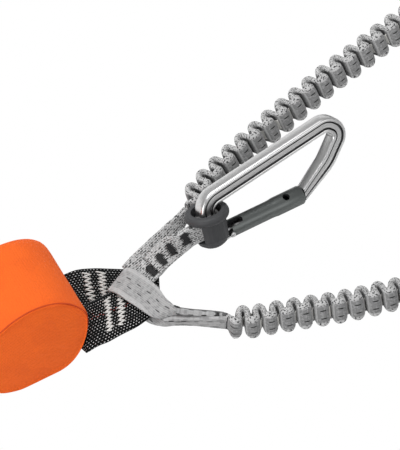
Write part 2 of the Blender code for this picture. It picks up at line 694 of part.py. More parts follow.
def build_gate(prefix, size, anchor, gate_finish, metal):
    """The gate tube with its fork, its latch slot, the spring and the pins."""
    hinge = Vector((-size["hinge_x"], size["hinge_y"], 0.0))
    middle = hinge + Vector((0.0, hinge_drop, 0.0))
    turn = math.atan2(-middle.y, -middle.x)
    swing = bpy.data.objects.new(prefix + "_gate_axis", None)
    bpy.context.scene.collection.objects.link(swing)
    swing.parent = anchor
    swing.location = hinge
    swing.rotation_euler = (0.0, 0.0, turn)
    reach = size["gate_reach"] - latch_gap * 0.5
    radius = size["gate_radius"]
    tail = gate_tail
    bm = bmesh.new()
    outline = [(-tail, radius * 0.55), (-tail * 0.7, radius * 0.80), (-tail * 0.1, radius * 0.93),
               (reach * 0.55, radius * 0.93), (reach * 0.66, radius), (reach - radius * 0.16, radius),
               (reach, radius * 0.84)]
    turned(bm, outline, 20)
    gate = finish_mesh(prefix + "_gate", bm, gate_finish, (0.0, 0.0, 0.0), swing)
    for vertex in gate.data.vertices:
        vertex.co.y += hinge_drop
    wide = radius * 2
    bm = bmesh.new()
    block(bm, (-wide, -wide, -fork_width / 2), (fork_length - fork_width / 2, wide, fork_width / 2))
    fork = as_cutter(finish_mesh(prefix + "_fork", bm, gate_finish, parent=swing))
    bm = bmesh.new()
    ring = []
    sides = 14
    for k in range(sides):
        angle = math.tau * k / sides
        ring.append((fork_length - fork_width / 2 + fork_width / 2 * math.cos(angle),
                     fork_width / 2 * math.sin(angle)))
    sweep(bm, [[Vector((x, y, z)) for x, z in reversed(ring)] for y in (-wide, wide)])
    fork_round = as_cutter(finish_mesh(prefix + "_fork_round", bm, gate_finish, parent=swing))
    bm = bmesh.new()
    latch_depth = radius * 0.9
    slot_half = latch_slot_width / 2
    block(bm, (reach - latch_depth, -wide, -slot_half), (reach + wide, wide, slot_half))
    latch = as_cutter(finish_mesh(prefix + "_latch_slot", bm, gate_finish, parent=swing))
    bm = bmesh.new()
    turned(bm, [(fork_length - fork_width, gate_bore_radius), (gate_bore_reach, gate_bore_radius),
                (gate_bore_reach + gate_bore_radius / 2, gate_bore_radius / 4)], 12)
    for vertex in bm.verts:
        vertex.co.y += hinge_drop
    bore = as_cutter(finish_mesh(prefix + "_gate_bore", bm, gate_finish, parent=swing))
    bm = bmesh.new()
    pin(bm, 0.0, 0.0, wide, hinge_pin_radius + pin_play)
    hinge_hole = as_cutter(finish_mesh(prefix + "_pin_hole", bm, gate_finish, parent=swing))
    bm = bmesh.new()
    pin(bm, reach - latch_depth + latch_pin_radius, hinge_drop, wide, latch_pin_radius + pin_play)
    latch_hole = as_cutter(finish_mesh(prefix + "_latch_hole", bm, gate_finish, parent=swing))
    # A drilled hole across the gate, open towards the spine
    bm = bmesh.new()
    drill = radius * 0.36
    hole_x = reach - radius * 2
    angles = [math.tau * k / 12 for k in range(12)]
    ring = [(hole_x + drill * math.cos(a), drill * math.sin(a)) for a in angles]
    sweep(bm, [[Vector((x, y, z)) for x, z in reversed(ring)] for y in (hinge_drop, wide)])
    drain = as_cutter(finish_mesh(prefix + "_drilled_hole", bm, gate_finish, parent=swing))
    for cutter in (fork, fork_round, latch, bore, hinge_hole, latch_hole, drain):
        cut(gate, cutter)

    rivet_half = math.sqrt(radius ** 2 * 0.86 - hinge_drop ** 2)
    bm = bmesh.new()
    pin(bm, 0.0, 0.0, rivet_half, hinge_pin_radius)
    finish_mesh(prefix + "_hinge_rivet", bm, metal, parent=swing)
    bm = bmesh.new()
    pin(bm, reach - latch_depth + latch_pin_radius, hinge_drop, radius * 0.9, latch_pin_radius)
    finish_mesh(prefix + "_latch_pin", bm, metal, parent=swing)

    # Follower and spring inside the gate
    tip = tongue_depth / 2 + gap
    head = fork_length + gap
    bm = bmesh.new()
    turned(bm, [(tip, follower_stem_radius * 0.7), (tip + follower_stem_radius / 2, follower_stem_radius),
                (head, follower_stem_radius), (head + gap, gate_bore_radius - gap * 1.5),
                (head + follower_head_length, gate_bore_radius - gap * 1.5)], 12)
    for vertex in bm.verts:
        vertex.co.y += hinge_drop
    finish_mesh(prefix + "_gate_follower", bm, metal, parent=swing)
    start = head + follower_head_length + gap + spring_wire
    end = gate_bore_reach - gap - spring_wire
    coil = gate_bore_radius - gap * 2 - spring_wire
    sides = 9
    count = spring_turns * sides + 1
    points = []
    for k in range(count):
        turn_angle = math.tau * k / sides
        points.append((start + (end - start) * k / (count - 1), hinge_drop + coil * math.cos(turn_angle),
                       coil * math.sin(turn_angle)))
    curve = bpy.data.curves.new(prefix + "_gate_spring", "CURVE")
    curve.dimensions = "3D"
    curve.bevel_depth = spring_wire
    curve.bevel_resolution = 0
    curve.use_fill_caps = True
    spline = curve.splines.new("POLY")
    spline.points.add(count - 1)
    for place, point in zip(spline.points, points):
        place.co = (*point, 1.0)
    curve.materials.append(metal)
    spring = bpy.data.objects.new(prefix + "_gate_spring", curve)
    bpy.context.scene.collection.objects.link(spring)
    spring.parent = swing
    return swing


def keeper_bore(size):
    return web_bend + grey_thickness / 2 + gap * 1.5 + size["keeper_room"]


def keeper_radius(size):
    return keeper_bore(size) + size["keeper_wall"] + size["keeper_collar"]


def build_keeper(prefix, size, anchor, rubber):
    """A cup of rubber round the heel, open for the bar and for the webbing."""
    bore = keeper_bore(size)
    wall = bore + size["keeper_wall"]
    collar = keeper_radius(size)
    base = size["keeper_base"]
    top = size["keeper_top"]
    step = top - keeper_collar_height
    bm = bmesh.new()
    outline = [(base, wall * 0.36), (base + keeper_edge * 0.6, wall * 0.60),
               (base + keeper_edge * 1.7, wall * 0.83), (base + keeper_edge * 3.6, wall * 0.98),
               (step - gap, wall), (step + gap, collar * 0.97),
               (step + keeper_edge, collar), (top - keeper_edge / 2, collar), (top, collar - keeper_edge / 2)]
    turned(bm, outline, 24, "Y")
    lean = Matrix.Rotation(math.radians(-size["keeper_lean"]), 3, "Z")
    bmesh.ops.rotate(bm, cent=(0.0, size["web_middle"] + keeper_edge, 0.0), matrix=lean, verts=bm.verts)
    place = (-size["heel"], 0.0, 0.0)
    keeper = finish_mesh(prefix + "_keeper", bm, rubber, place, anchor)
    floor = size["keeper_floor"]
    bm = bmesh.new()
    turned(bm, [(floor, bore * 0.50), (floor + keeper_edge * 1.2, bore * 0.76),
                (floor + keeper_edge * 3.6, bore), (top + cut_overrun, bore)], 20, "Y")
    bmesh.ops.rotate(bm, cent=(0.0, size["web_middle"] + keeper_edge, 0.0), matrix=lean, verts=bm.verts)
    cavity = as_cutter(finish_mesh(prefix + "_keeper_bore", bm, rubber, place, anchor))
    bm = bmesh.new()
    wide = size["gate_radius"] + 2 * gap
    ceiling = size["hinge_y"] + hinge_drop + size["gate_radius"] + 4 * gap
    block(bm, (-size["keeper_cut_back"], base - collar, -wide), (collar + cut_overrun, ceiling, wide))
    gate_way = as_cutter(finish_mesh(prefix + "_keeper_gate_way", bm, rubber, place, anchor))
    bm = bmesh.new()
    half_web = size["web_width"] / 2 + 3 * gap
    slot_half = bore * web_slot_share
    block(bm, (-collar - cut_overrun, size["web_middle"] - half_web, -slot_half),
          (0.0, size["web_middle"] + half_web, slot_half))
    web_way = as_cutter(finish_mesh(prefix + "_keeper_web_way", bm, rubber, place, anchor))
    bm = bmesh.new()
    spine_low = size["spine"] - size["bar_depth"] / 2 - 2 * gap
    spine_half = size["bar_thickness"] / 2 + 2 * gap
    if spine_low < top:
        block(bm, (0.0, spine_low, -spine_half), (collar + cut_overrun, top + cut_overrun, spine_half))
        spine_way = as_cutter(finish_mesh(prefix + "_keeper_spine_way", bm, rubber, place, anchor))
    else:
        bm.free()
        spine_way = None
    for cutter in (cavity, gate_way, web_way, spine_way):
        if cutter:
            cut(keeper, cutter)
    return keeper


def hairpin(size, approach, layer):
    """Webbing round the heel bar, in the carabiner's frame, layer by layer."""
    heel = -size["heel"]
    y = size["web_middle"]
    half = (layer + sling_layer_gap) / 2
    bend = web_bend
    lead_shares = [(-2.15, 0.0), (-1.35, 0.20), (-0.73, 0.66)]
    first = [Vector((heel + along * bend, y, -(half + (bend - half) * out))) for along, out in lead_shares]
    round_bar = [Vector((heel + bend * math.sin(math.radians(a)), y, -bend * math.cos(math.radians(a))))
                 for a in (0, 45, 90, 135, 180)]
    last = [Vector((p.x, p.y, -p.z)) for p in reversed(first)]
    outer = [Vector((first[0].x - approach, y, first[0].z))]
    outer_back = [Vector((first[0].x - approach, y, -first[0].z))]
    return (outer if approach else []) + first + round_bar + last + (outer_back if approach else [])


def build_rest_sling(frame, grey):
    size = rest_sizes
    half = (sling_thickness + sling_layer_gap) / 2
    flat = Vector((-0.70, 0.71, 0.0))
    steep = (frame.to_3x3() @ Vector((0.0, 1.0, 0.0))).normalized()
    up = Vector((0.0, 0.0, 1.0))
    loop = [frame @ p for p in hairpin(size, 0.0, sling_thickness)]
    entry = (loop[0] + loop[-1]) / 2
    place_shares = [(0.845, 0.455, 0.0870), (0.905, 0.512, 0.0870), (0.962, 0.571, 0.1000),
                    (1.018, 0.630, 0.120), (1.080, 0.674, 0.156), (1.130, 0.696, 0.190)]
    middle = [Vector(p) * junction_reach for p in place_shares] + [entry]
    lead = smooth_route(middle, 3)
    way = tangents(lead)
    way[-1] = (frame.to_3x3() @ Vector((1.0, 0.0, 0.0))).normalized()
    sides = spread([flat, flat, flat, (flat + steep * 0.6).normalized(), (flat + steep * 1.6).normalized(),
                    steep, steep], len(lead))
    faces = [t.cross((s - t * s.dot(t)).normalized()) for t, s in zip(way, sides)]
    if faces[0].dot(up) < 0:
        faces = [-f for f in faces]
    under = [p - f * (half if i > 6 else 0.0) for i, (p, f) in enumerate(zip(lead, faces))]
    over_start = 7
    over = [p + f * half for p, f in zip(lead[over_start:], faces[over_start:])]
    ring = loop if (loop[0] - under[-1]).length < (loop[-1] - under[-1]).length else loop[::-1]
    turn = smooth_route(ring, 2)
    points = under[:-1] + turn + over[:-1][::-1]
    all_sides = sides[:-1] + [steep] * len(turn) + sides[over_start:-1][::-1]
    count = len(points)
    ribbon("rest_sling", points, all_sides, [sling_width] * count, sling_thickness, grey)


def build_end_loop(name, frame, arm_end, grey):
    """The arm's last loop, flat from the arm's end and round the connector's heel."""
    size = end_sizes
    half = (sling_thickness + sling_layer_gap) / 2
    steep = (frame.to_3x3() @ Vector((0.0, 1.0, 0.0))).normalized()
    loop = [frame @ p for p in hairpin(size, 0.0, sling_thickness)]
    entry = (loop[0] + loop[-1]) / 2
    lead = [arm_end.lerp(entry, share) for share in (0.0, 0.33, 0.66)]
    way = (entry - arm_end).normalized()
    face = way.cross(steep).normalized()
    under = [p - face * half for p in lead]
    over = [p + face * half for p in lead]
    ring = loop if (loop[0] - under[-1]).length < (loop[-1] - under[-1]).length else loop[::-1]
    points = under + smooth_route(ring, 2) + over[::-1]
    count = len(points)
    ribbon(name, points, [steep] * count, [size["web_width"]] * count, sling_thickness, grey)


def build_lever(prefix, size, anchor, finish, metal):
    """The palm lever: a channel over the spine that turns on a pin through it."""
    pivot = (size["bow"] - lever_pivot_back - size["bow_bend"], size["spine"], 0.0)
    axis = bpy.data.objects.new(prefix + "_lever_axis", None)
    bpy.context.scene.collection.objects.link(axis)
    axis.parent = anchor
    axis.location = pivot
    spine_out = size["bar_depth"] / 2
    inner_half = size["bar_thickness"] / 2 + gap * 1.5
    outer_half = inner_half + lever_wall
    near = spine_out + lever_stand_off * 0.2
    far = spine_out + lever_stand_off
    tail = -lever_length
    front = spine_out * 1.6
    bm = bmesh.new()
    outline = [(front, -spine_out * 0.9), (front, near + lever_wall * 0.6),
               (front - lever_wall, near + lever_wall),
               (tail * 0.35, near + lever_wall * 2), (tail * 0.8, far + lever_wall * 1.5),
               (tail * 0.97, far + lever_wall), (tail, far), (tail * 0.9, spine_out * 0.75),
               (tail * 0.3, spine_out * 0.3), (-front, -spine_out * 0.9)]
    prism(bm, outline, -outer_half, outer_half)
    lever = finish_mesh(prefix + "_lever", bm, finish, parent=axis)
    bm = bmesh.new()
    channel = [(front + cut_overrun, -spine_out * 3), (front + cut_overrun, near), (0.0, near),
               (tail - cut_overrun, far), (tail - cut_overrun, -spine_out * 3)]
    prism(bm, channel, -inner_half, inner_half)
    cut(lever, as_cutter(finish_mesh(prefix + "_lever_channel", bm, finish, parent=axis)))
    bm = bmesh.new()
    pin(bm, 0.0, 0.0, outer_half + cut_overrun, lever_pin_radius + pin_play)
    cut(lever, as_cutter(finish_mesh(prefix + "_lever_pin_hole", bm, finish, parent=axis)))
    bm = bmesh.new()
    pin(bm, 0.0, 0.0, outer_half, lever_pin_radius)
    finish_mesh(prefix + "_lever_pin", bm, metal, parent=axis)


# Arms
def superellipse(width, thickness, sides):
    ring = []
    for k in range(sides):
        angle = math.tau * (k + 0.5) / sides
        a = math.cos(angle)
        b = math.sin(angle)
        across = math.copysign(abs(a) ** 0.75, a) * width / 2
        ring.append((across, math.copysign(abs(b) ** 0.85, b) * thickness / 2))
    return ring


def arm_stations(route):
    """Ring places along an arm: its middle, its width's way and its wave's way."""
    fine = smooth_route(route, 6)
    length = route_length(fine)
    straight = arm_width * 0.5
    waves = int((length - 2 * straight) / arm_pitch)
    count = 2 * waves + 1
    even = evenly(fine, 801)
    way = tangents(even)
    places = [0.0] + [straight + (length - 2 * straight) * i / (count - 1) for i in range(count)] + [length]
    found = []
    for number, place in enumerate(places):
        index = min(800, round(place / length * 800))
        along = way[index]
        share = place / length
        lean = arm_lean
        if share < 0.12:
            lean += (78.0 - arm_lean) * (1 - share / 0.12)
        if share > 0.72:
            lean *= 1 - (share - 0.72) / 0.28
        level = Vector((-along.y, along.x, 0.0)).normalized()
        rise = Vector((0.0, 0.0, 1.0))
        width_way = level * math.cos(math.radians(lean)) + rise * math.sin(math.radians(lean))
        wave_way = rise * math.cos(math.radians(lean)) - level * math.sin(math.radians(lean))
        inner = 0 < number < len(places) - 1
        offset = arm_wave * (1 if number % 2 else -1) if inner and 1 < number < len(places) - 2 else 0.0
        found.append((even[index] + wave_way * offset, width_way, wave_way))
    return found, length


def build_arm(prefix, route, grey, white):
    """The gathered sleeve, open inside for its flat elastic core."""
    places, length = arm_stations(route)
    outer = superellipse(arm_width, arm_thickness, 8)
    inner = superellipse(arm_bore_width, arm_bore_thickness, 4)
    bm = bmesh.new()
    skins = []
    for outline in (outer, inner):
        skins.append([[bm.verts.new(point + w * x + n * y) for x, y in outline] for point, w, n in places])
    for skin in skins:
        for ring, after in zip(skin, skin[1:]):
            for i in range(len(ring)):
                j = (i + 1) % len(ring)
                face = (ring[i], ring[j], after[j], after[i])
                bm.faces.new(face if skin is skins[0] else reversed(face))
    for end in (0, -1):
        rim, hole = skins[0][end], skins[1][end]
        for i in range(len(hole)):
            j = (i + 1) % len(hole)
            a, b, c = rim[2 * i], rim[2 * i + 1], rim[(2 * i + 2) % len(rim)]
            for face in ((a, b, hole[i]), (b, c, hole[j]), (b, hole[j], hole[i])):
                bm.faces.new(face if end else reversed(face))
    finish_mesh(prefix + "_sleeve", bm, grey, smooth_angle=80.0, outward=False)
    bm = bmesh.new()
    core = superellipse(core_width, core_thickness, 4)
    sweep(bm, [[point + w * x + n * y for x, y in core] for point, w, n in places])
    finish_mesh(prefix + "_core", bm, white)
    return places, length


def build_connector(prefix, places, gate_finish, alloy, steel, rubber, grey):
    """An end connector, its keeper and the loop that joins it to its arm."""
    size = end_sizes
    end = places[-1][0]
    way = (places[-1][0] - places[-3][0])
    heading = math.degrees(math.atan2(way.y, way.x))
    along = Vector((math.cos(math.radians(heading)), math.sin(math.radians(heading)), 0.0))
    across = Vector((-along.y, along.x, 0.0))
    run = size["heel"] + end_loop_run
    nose = end + along * run - across * size["web_middle"]
    # The connector lies on its bow and on its keeper's collar.
    thick = size["bar_thickness"] / 2
    tip = size["bow_out"] + size["bar_depth"] / 2
    dip = (keeper_radius(size) - thick) / (size["heel"] + tip)
    nose.z = floor_gap + thick + tip * dip
    frame = frame_at(nose, heading, 0.0, math.degrees(math.asin(dip)))
    anchor = empty(prefix + "_frame", frame)
    build_bar(prefix, size, anchor, alloy, lever=True)
    build_gate(prefix, size, anchor, gate_finish, steel)
    build_keeper(prefix, size, anchor, rubber)
    build_lever(prefix, size, anchor, gate_finish, steel)
    build_end_loop(prefix.replace("connector", "end_loop"), frame, end + along * end_loop_gap, grey)


def main():
    remove_everything()
    orange = make_material("orange_fabric", (0.83, 0.14, 0.02), 0.85)
    black = make_material("black_webbing", (0.012, 0.013, 0.015), 0.9)
    dark = make_material("dark_tape", (0.03, 0.03, 0.032), 0.8)
    grey = make_material("grey_webbing", (0.42, 0.42, 0.43), 0.85)
    white = make_material("elastic", (0.7, 0.69, 0.66), 0.7)
    rubber = make_material("grey_rubber", (0.075, 0.08, 0.088), 0.55)
    alloy = make_material("polished_alloy", (0.72, 0.73, 0.74), 0.28, 1.0)
    gate_finish = make_material("grey_anodised", (0.14, 0.155, 0.155), 0.42, 0.8)
    steel = make_material("steel", (0.6, 0.6, 0.6), 0.3, 1.0)

    pouch = empty("pouch_frame", Matrix.Rotation(math.radians(pouch_turn), 4, "Z"))
    build_pouch(pouch, orange)
    build_zip(pouch, dark, steel)
    build_absorber(pouch, black)
    build_harness_loop(pouch, black)
    build_front_loop(black)
    build_lower_arm_loop(grey)
    build_upper_arm_loop(grey)

    rest_frame = frame_at(Vector(rest_nose_place), rest_heading, rest_tilt)
    rest = empty("rest_frame", rest_frame)
    build_bar("rest_carabiner", rest_sizes, rest, alloy)
    build_gate("rest_carabiner", rest_sizes, rest, gate_finish, steel)
    build_keeper("rest_carabiner", rest_sizes, rest, rubber)
    build_rest_sling(rest_frame, grey)

    for prefix, route in (("lower", lower_arm_route), ("upper", upper_arm_route)):
        places, length = build_arm(prefix + "_arm", route, grey, white)
        print(prefix, "arm", round(length, 4), "m,", len(places), "rings")
        build_connector(prefix + "_connector", places, gate_finish, alloy, steel, rubber, grey)

    # The origin is the middle of the flat under the pouch.
    origin = Matrix.Rotation(math.radians(pouch_turn), 3, "Z") @ Vector((pouch_middle, 0.0, 0.0))
    for item in bpy.context.scene.objects:
        if item.parent is None:
            item.location -= origin


main()
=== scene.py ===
import json
import math
import random

import bmesh
import bpy
from mathutils import Matrix, Vector, noise


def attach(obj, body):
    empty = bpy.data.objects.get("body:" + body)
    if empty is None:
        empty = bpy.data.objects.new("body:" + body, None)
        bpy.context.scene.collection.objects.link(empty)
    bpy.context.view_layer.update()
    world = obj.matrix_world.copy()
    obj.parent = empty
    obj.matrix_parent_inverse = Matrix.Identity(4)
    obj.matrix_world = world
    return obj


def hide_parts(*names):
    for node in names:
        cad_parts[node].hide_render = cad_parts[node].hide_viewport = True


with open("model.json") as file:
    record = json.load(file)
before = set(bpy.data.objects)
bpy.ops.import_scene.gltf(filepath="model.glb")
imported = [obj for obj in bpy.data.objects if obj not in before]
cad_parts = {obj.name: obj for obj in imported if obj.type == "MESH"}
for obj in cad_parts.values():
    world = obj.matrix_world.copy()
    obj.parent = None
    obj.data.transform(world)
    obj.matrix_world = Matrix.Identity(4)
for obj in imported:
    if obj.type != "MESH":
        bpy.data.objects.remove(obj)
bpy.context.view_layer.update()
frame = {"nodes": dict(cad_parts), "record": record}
record = frame["record"]
nodes = frame["nodes"]
print("frame in place:", len(nodes), "nodes")

# Everything below is laid out from the pouch's lower left corner and set home here.
home = Vector((-0.026264, -0.014498, 0.0))

cameraSettings = {"place": (0.1235, -0.7071, 1.3856), "tilt": 30.0, "lens": 224.0, "near": 0.05, "far": 20.0}

# The free arms follow these points on the floor.
lowerArmRoute = [
    (0.1380, 0.0247, 0.0103), (0.1458, 0.0246, 0.0102), (0.1544, 0.0254, 0.0102),
    (0.1630, 0.0272, 0.0102), (0.1729, 0.0290, 0.0102), (0.1823, 0.0308, 0.0102),
    (0.1914, 0.0324, 0.0102), (0.2014, 0.0343, 0.0102), (0.2111, 0.0365, 0.0102),
    (0.2209, 0.0391, 0.0102), (0.2307, 0.0418, 0.0102), (0.2470, 0.0455, 0.0102),
    (0.2600, 0.0464, 0.0102), (0.2730, 0.0448, 0.0102), (0.2855, 0.0400, 0.0102),
    (0.2965, 0.0320, 0.0102), (0.3055, 0.0210, 0.0102), (0.3115, 0.0080, 0.0102),
    (0.3140, -0.0060, 0.0102), (0.3130, -0.0200, 0.0102), (0.3085, -0.0340, 0.0102),
    (0.3010, -0.0470, 0.0102), (0.2910, -0.0585, 0.0101), (0.2790, -0.0685, 0.0100),
    (0.2655, -0.0770, 0.0099), (0.2510, -0.0840, 0.0098), (0.2360, -0.0895, 0.0098),
    (0.2205, -0.0935, 0.0098), (0.2050, -0.0965, 0.0098), (0.1900, -0.0985, 0.0098),
]
upperArmRoute = [
    (0.1164, 0.0972, 0.0106), (0.1215, 0.1048, 0.0103), (0.1292, 0.1153, 0.0102),
    (0.1373, 0.1248, 0.0102), (0.1457, 0.1337, 0.0102), (0.1537, 0.1420, 0.0102),
    (0.1623, 0.1507, 0.0102), (0.1711, 0.1594, 0.0102), (0.1793, 0.1674, 0.0102),
    (0.1948, 0.1822, 0.0102), (0.2025, 0.1891, 0.0102), (0.2103, 0.1957, 0.0102),
    (0.2178, 0.2024, 0.0102), (0.2254, 0.2091, 0.0102), (0.2327, 0.2158, 0.0102),
    (0.2409, 0.2224, 0.0102), (0.2520, 0.2315, 0.0102), (0.2645, 0.2400, 0.0102),
    (0.2785, 0.2465, 0.0102), (0.2935, 0.2500, 0.0102), (0.3090, 0.2495, 0.0102),
    (0.3235, 0.2450, 0.0102), (0.3365, 0.2370, 0.0102), (0.3475, 0.2260, 0.0102),
    (0.3560, 0.2125, 0.0101), (0.3615, 0.1975, 0.0100), (0.3645, 0.1820, 0.0099),
    (0.3660, 0.1660, 0.0098), (0.3665, 0.1500, 0.0098),
]


# Objects, lines and meshes
def linked(name, data):
    item = bpy.data.objects.new(name, data)
    bpy.context.scene.collection.objects.link(item)
    return item


def meshFrom(name, bm):
    mesh = bpy.data.meshes.new(name)
    bm.to_mesh(mesh)
    bm.free()
    return mesh


def limited(value):
    return min(1.0, max(0.0, value))


def between(first, last, share):
    return first + (last - first) * share


def circleSpots(count, radius):
    return [(radius * math.cos(math.tau * k / count), radius * math.sin(math.tau * k / count))
            for k in range(count)]


def curveSteps(before, here, there, after, steps):
    found = []
    for k in range(steps):
        t = k / steps
        found.append(here + (there - before) * (t / 2)
                     + (before * 2 - here * 5 + there * 4 - after) * (t * t / 2)
                     + (here * 3 - before - there * 3 + after) * (t ** 3 / 2))
    return found


def smoothRoute(points, stepsBetween):
    places = [Vector(p) for p in points]
    padded = [places[0] * 2 - places[1]] + places + [places[-1] * 2 - places[-2]]
    route = []
    for i in range(1, len(padded) - 2):
        route += curveSteps(*padded[i - 1:i + 3], stepsBetween)
    route.append(places[-1])
    return route


def lengthsAlong(points):
    lengths = [0.0]
    for a, b in zip(points, points[1:]):
        lengths.append(lengths[-1] + (b - a).length)
    return lengths


def evenly(points, count):
    lengths = lengthsAlong(points)
    found = []
    j = 0
    for i in range(count):
        want = lengths[-1] * i / (count - 1)
        while j < len(points) - 2 and lengths[j + 1] < want:
            j += 1
        span = lengths[j + 1] - lengths[j]
        found.append(points[j].lerp(points[j + 1], (want - lengths[j]) / span if span else 0.0))
    return found


def tangentsOf(points):
    last = len(points) - 1
    return [(points[min(i + 1, last)] - points[max(i - 1, 0)]).normalized() for i in range(last + 1)]


def spread(values, count):
    found = []
    for i in range(count):
        t = (len(values) - 1) * i / (count - 1)
        j = min(int(t), len(values) - 2)
        found.append(values[j] * (1 - (t - j)) + values[j + 1] * (t - j))
    return found


# Puts a mesh home, smooths it and lets it ride on its body.
def finishPiece(name, bm, material, body, sharpAngle=60.0, moved=True):
    if moved:
        bmesh.ops.translate(bm, verts=bm.verts, vec=home)
    mesh = meshFrom(name, bm)
    mesh.materials.append(material)
    mesh.shade_smooth()
    mesh.set_sharp_from_angle(angle=math.radians(sharpAngle))
    piece = linked(name, mesh)
    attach(piece, body)
    return piece


# Shader nodes
def feed(tree, value, socket):
    if isinstance(value, bpy.types.NodeSocket):
        tree.links.new(value, socket)
    else:
        socket.default_value = (*value, 1.0) if isinstance(value, tuple) else value


def calc(tree, operation, *values):
    node = tree.nodes.new("ShaderNodeMath")
    node.operation = operation
    for socket, value in zip(node.inputs, values):
        feed(tree, value, socket)
    return node.outputs[0]


def times(tree, first, second):
    return calc(tree, "MULTIPLY", first, second)


def remap(tree, value, low, high, fromZero=0.0, toOne=1.0):
    node = tree.nodes.new("ShaderNodeMapRange")
    node.interpolation_type = "SMOOTHSTEP"
    names = ("Value", "From Min", "From Max", "To Min", "To Max")
    for name, given in zip(names, (value, low, high, fromZero, toOne)):
        feed(tree, given, node.inputs[name])
    return node.outputs["Result"]


def mixColours(tree, share, first, second):
    node = tree.nodes.new("ShaderNodeMix")
    node.data_type = "RGBA"
    for socket, value in ((0, share), (6, first), (7, second)):
        feed(tree, value, node.inputs[socket])
    return node.outputs[2]


def surfaceOf(name, roughness, metallic=0.0, sheen=0.0):
    material = bpy.data.materials.new(name)
    material.use_nodes = True
    shader = material.node_tree.nodes["Principled BSDF"]
    for socket, value in (("Roughness", roughness), ("Metallic", metallic), ("Sheen Weight", sheen)):
        shader.inputs[socket].default_value = value
    return material, material.node_tree, shader


def plainMaterial(name, colour, roughness, metallic=0.0):
    material, tree, shader = surfaceOf(name, roughness, metallic)
    feed(tree, colour, shader.inputs["Base Color"])
    return material


def paintInto(tree, shader, share, first, second):
    tree.links.new(mixColours(tree, share, first, second), shader.inputs["Base Color"])


def bumpInto(tree, shader, height, strength, distance):
    bump = tree.nodes.new("ShaderNodeBump")
    bump.inputs["Strength"].default_value = strength
    bump.inputs["Distance"].default_value = distance
    tree.links.new(height, bump.inputs["Height"])
    tree.links.new(bump.outputs["Normal"], shader.inputs["Normal"])


def uvOf(tree):
    node = tree.nodes.new("ShaderNodeUVMap")
    node.uv_map = "weave"
    split = tree.nodes.new("ShaderNodeSeparateXYZ")
    tree.links.new(node.outputs["UV"], split.inputs[0])
    return node.outputs["UV"], split.outputs["X"], split.outputs["Y"]


# Camera, light and floor
def makeCamera():
    data = bpy.data.cameras.new("photoCamera")
    data.sensor_fit = "AUTO"
    data.lens = cameraSettings["lens"]
    data.clip_start = cameraSettings["near"]
    data.clip_end = cameraSettings["far"]
    camera = linked("photoCamera", data)
    camera.location = Vector(cameraSettings["place"]) + home
    camera.rotation_euler = (math.radians(cameraSettings["tilt"]), 0.0, 0.0)
    bpy.context.scene.camera = camera


lightSettings = [
    {"name": "topLight", "place": (-0.25, 0.55, 1.15), "power": 12.5, "size": 0.8},
    {"name": "leftLight", "place": (-0.70, -0.95, 0.75), "power": 9.0, "size": 0.8},
    {"name": "rightLight", "place": (1.30, -0.60, 0.90), "power": 4.0, "size": 0.8},
]
lightTarget = Vector((0.10, 0.06, 0.02))
floorSettings = {"reach": 6.0, "drop": 0.0002, "grey": 0.80, "roughness": 0.9, "world": 0.42}


def makeLights():
    for settings in lightSettings:
        data = bpy.data.lights.new(settings["name"], "AREA")
        data.energy = settings["power"]
        data.size = settings["size"]
        light = linked(settings["name"], data)
        light.location = settings["place"]
        light.rotation_euler = (lightTarget - light.location).to_track_quat("-Z", "Y").to_euler()


def makeFloor():
    bm = bmesh.new()
    bmesh.ops.create_grid(bm, x_segments=1, y_segments=1, size=floorSettings["reach"])
    floor = linked("floor", meshFrom("floor", bm))
    floor.location = (0.0, 0.0, -floorSettings["drop"])
    material, tree, shader = surfaceOf("paleFloor", floorSettings["roughness"])
    feed(tree, (floorSettings["grey"],) * 3, shader.inputs["Base Color"])
    glow = tree.nodes.new("ShaderNodeEmission")
    path = tree.nodes.new("ShaderNodeLightPath")
    mix = tree.nodes.new("ShaderNodeMixShader")
    tree.links.new(path.outputs["Is Camera Ray"], mix.inputs["Fac"])
    tree.links.new(shader.outputs["BSDF"], mix.inputs[1])
    tree.links.new(glow.outputs["Emission"], mix.inputs[2])
    tree.links.new(mix.outputs["Shader"], tree.nodes["Material Output"].inputs["Surface"])
    floor.data.materials.append(material)
    world = bpy.data.worlds.new("studio")
    bpy.context.scene.world = world
    world.use_nodes = True
    background = world.node_tree.nodes["Background"]
    background.inputs["Color"].default_value = (1.0, 1.0, 1.0, 1.0)
    background.inputs["Strength"].default_value = floorSettings["world"]
    bpy.context.scene.view_settings.view_transform = "Standard"


makeCamera()
makeLights()
makeFloor()
print("camera, lights and floor made")


# Metals, rubber and cloth on the CAD nodes: colour, roughness and how metallic
finishSettings = {
    "polishedAlloy": ((0.40, 0.40, 0.40), 0.54, 1.0), "greyAnodised": ((0.135, 0.145, 0.142), 0.42, 0.85),
    "brightSteel": ((0.60, 0.60, 0.60), 0.30, 1.0), "greyRubber": ((0.040, 0.041, 0.044), 0.60),
    "darkTape": ((0.03, 0.03, 0.032), 0.8), "elastic": ((0.7, 0.69, 0.66), 0.7),
    "orangeFabric": ((0.83, 0.14, 0.02), 0.85), "blackWebbing": ((0.012, 0.013, 0.015), 0.9),
    "greyWebbing": ((0.42, 0.42, 0.43), 0.85),
}
finishes = {name: plainMaterial(name, *values) for name, values in finishSettings.items()}
slotFinish = {
    "polished_alloy": "polishedAlloy", "grey_anodised": "greyAnodised", "steel": "brightSteel",
    "grey_rubber": "greyRubber", "dark_tape": "darkTape", "elastic": "elastic",
    "orange_fabric": "orangeFabric", "black_webbing": "blackWebbing", "grey_webbing": "greyWebbing",
}
slotOfNode = {s["node"]: s["material_slot"] for s in record["subparts"]}
for nodeName, piece in nodes.items():
    piece.data.materials.clear()
    piece.data.materials.append(finishes[slotFinish[slotOfNode[nodeName]]])
print("finishes on the nodes")


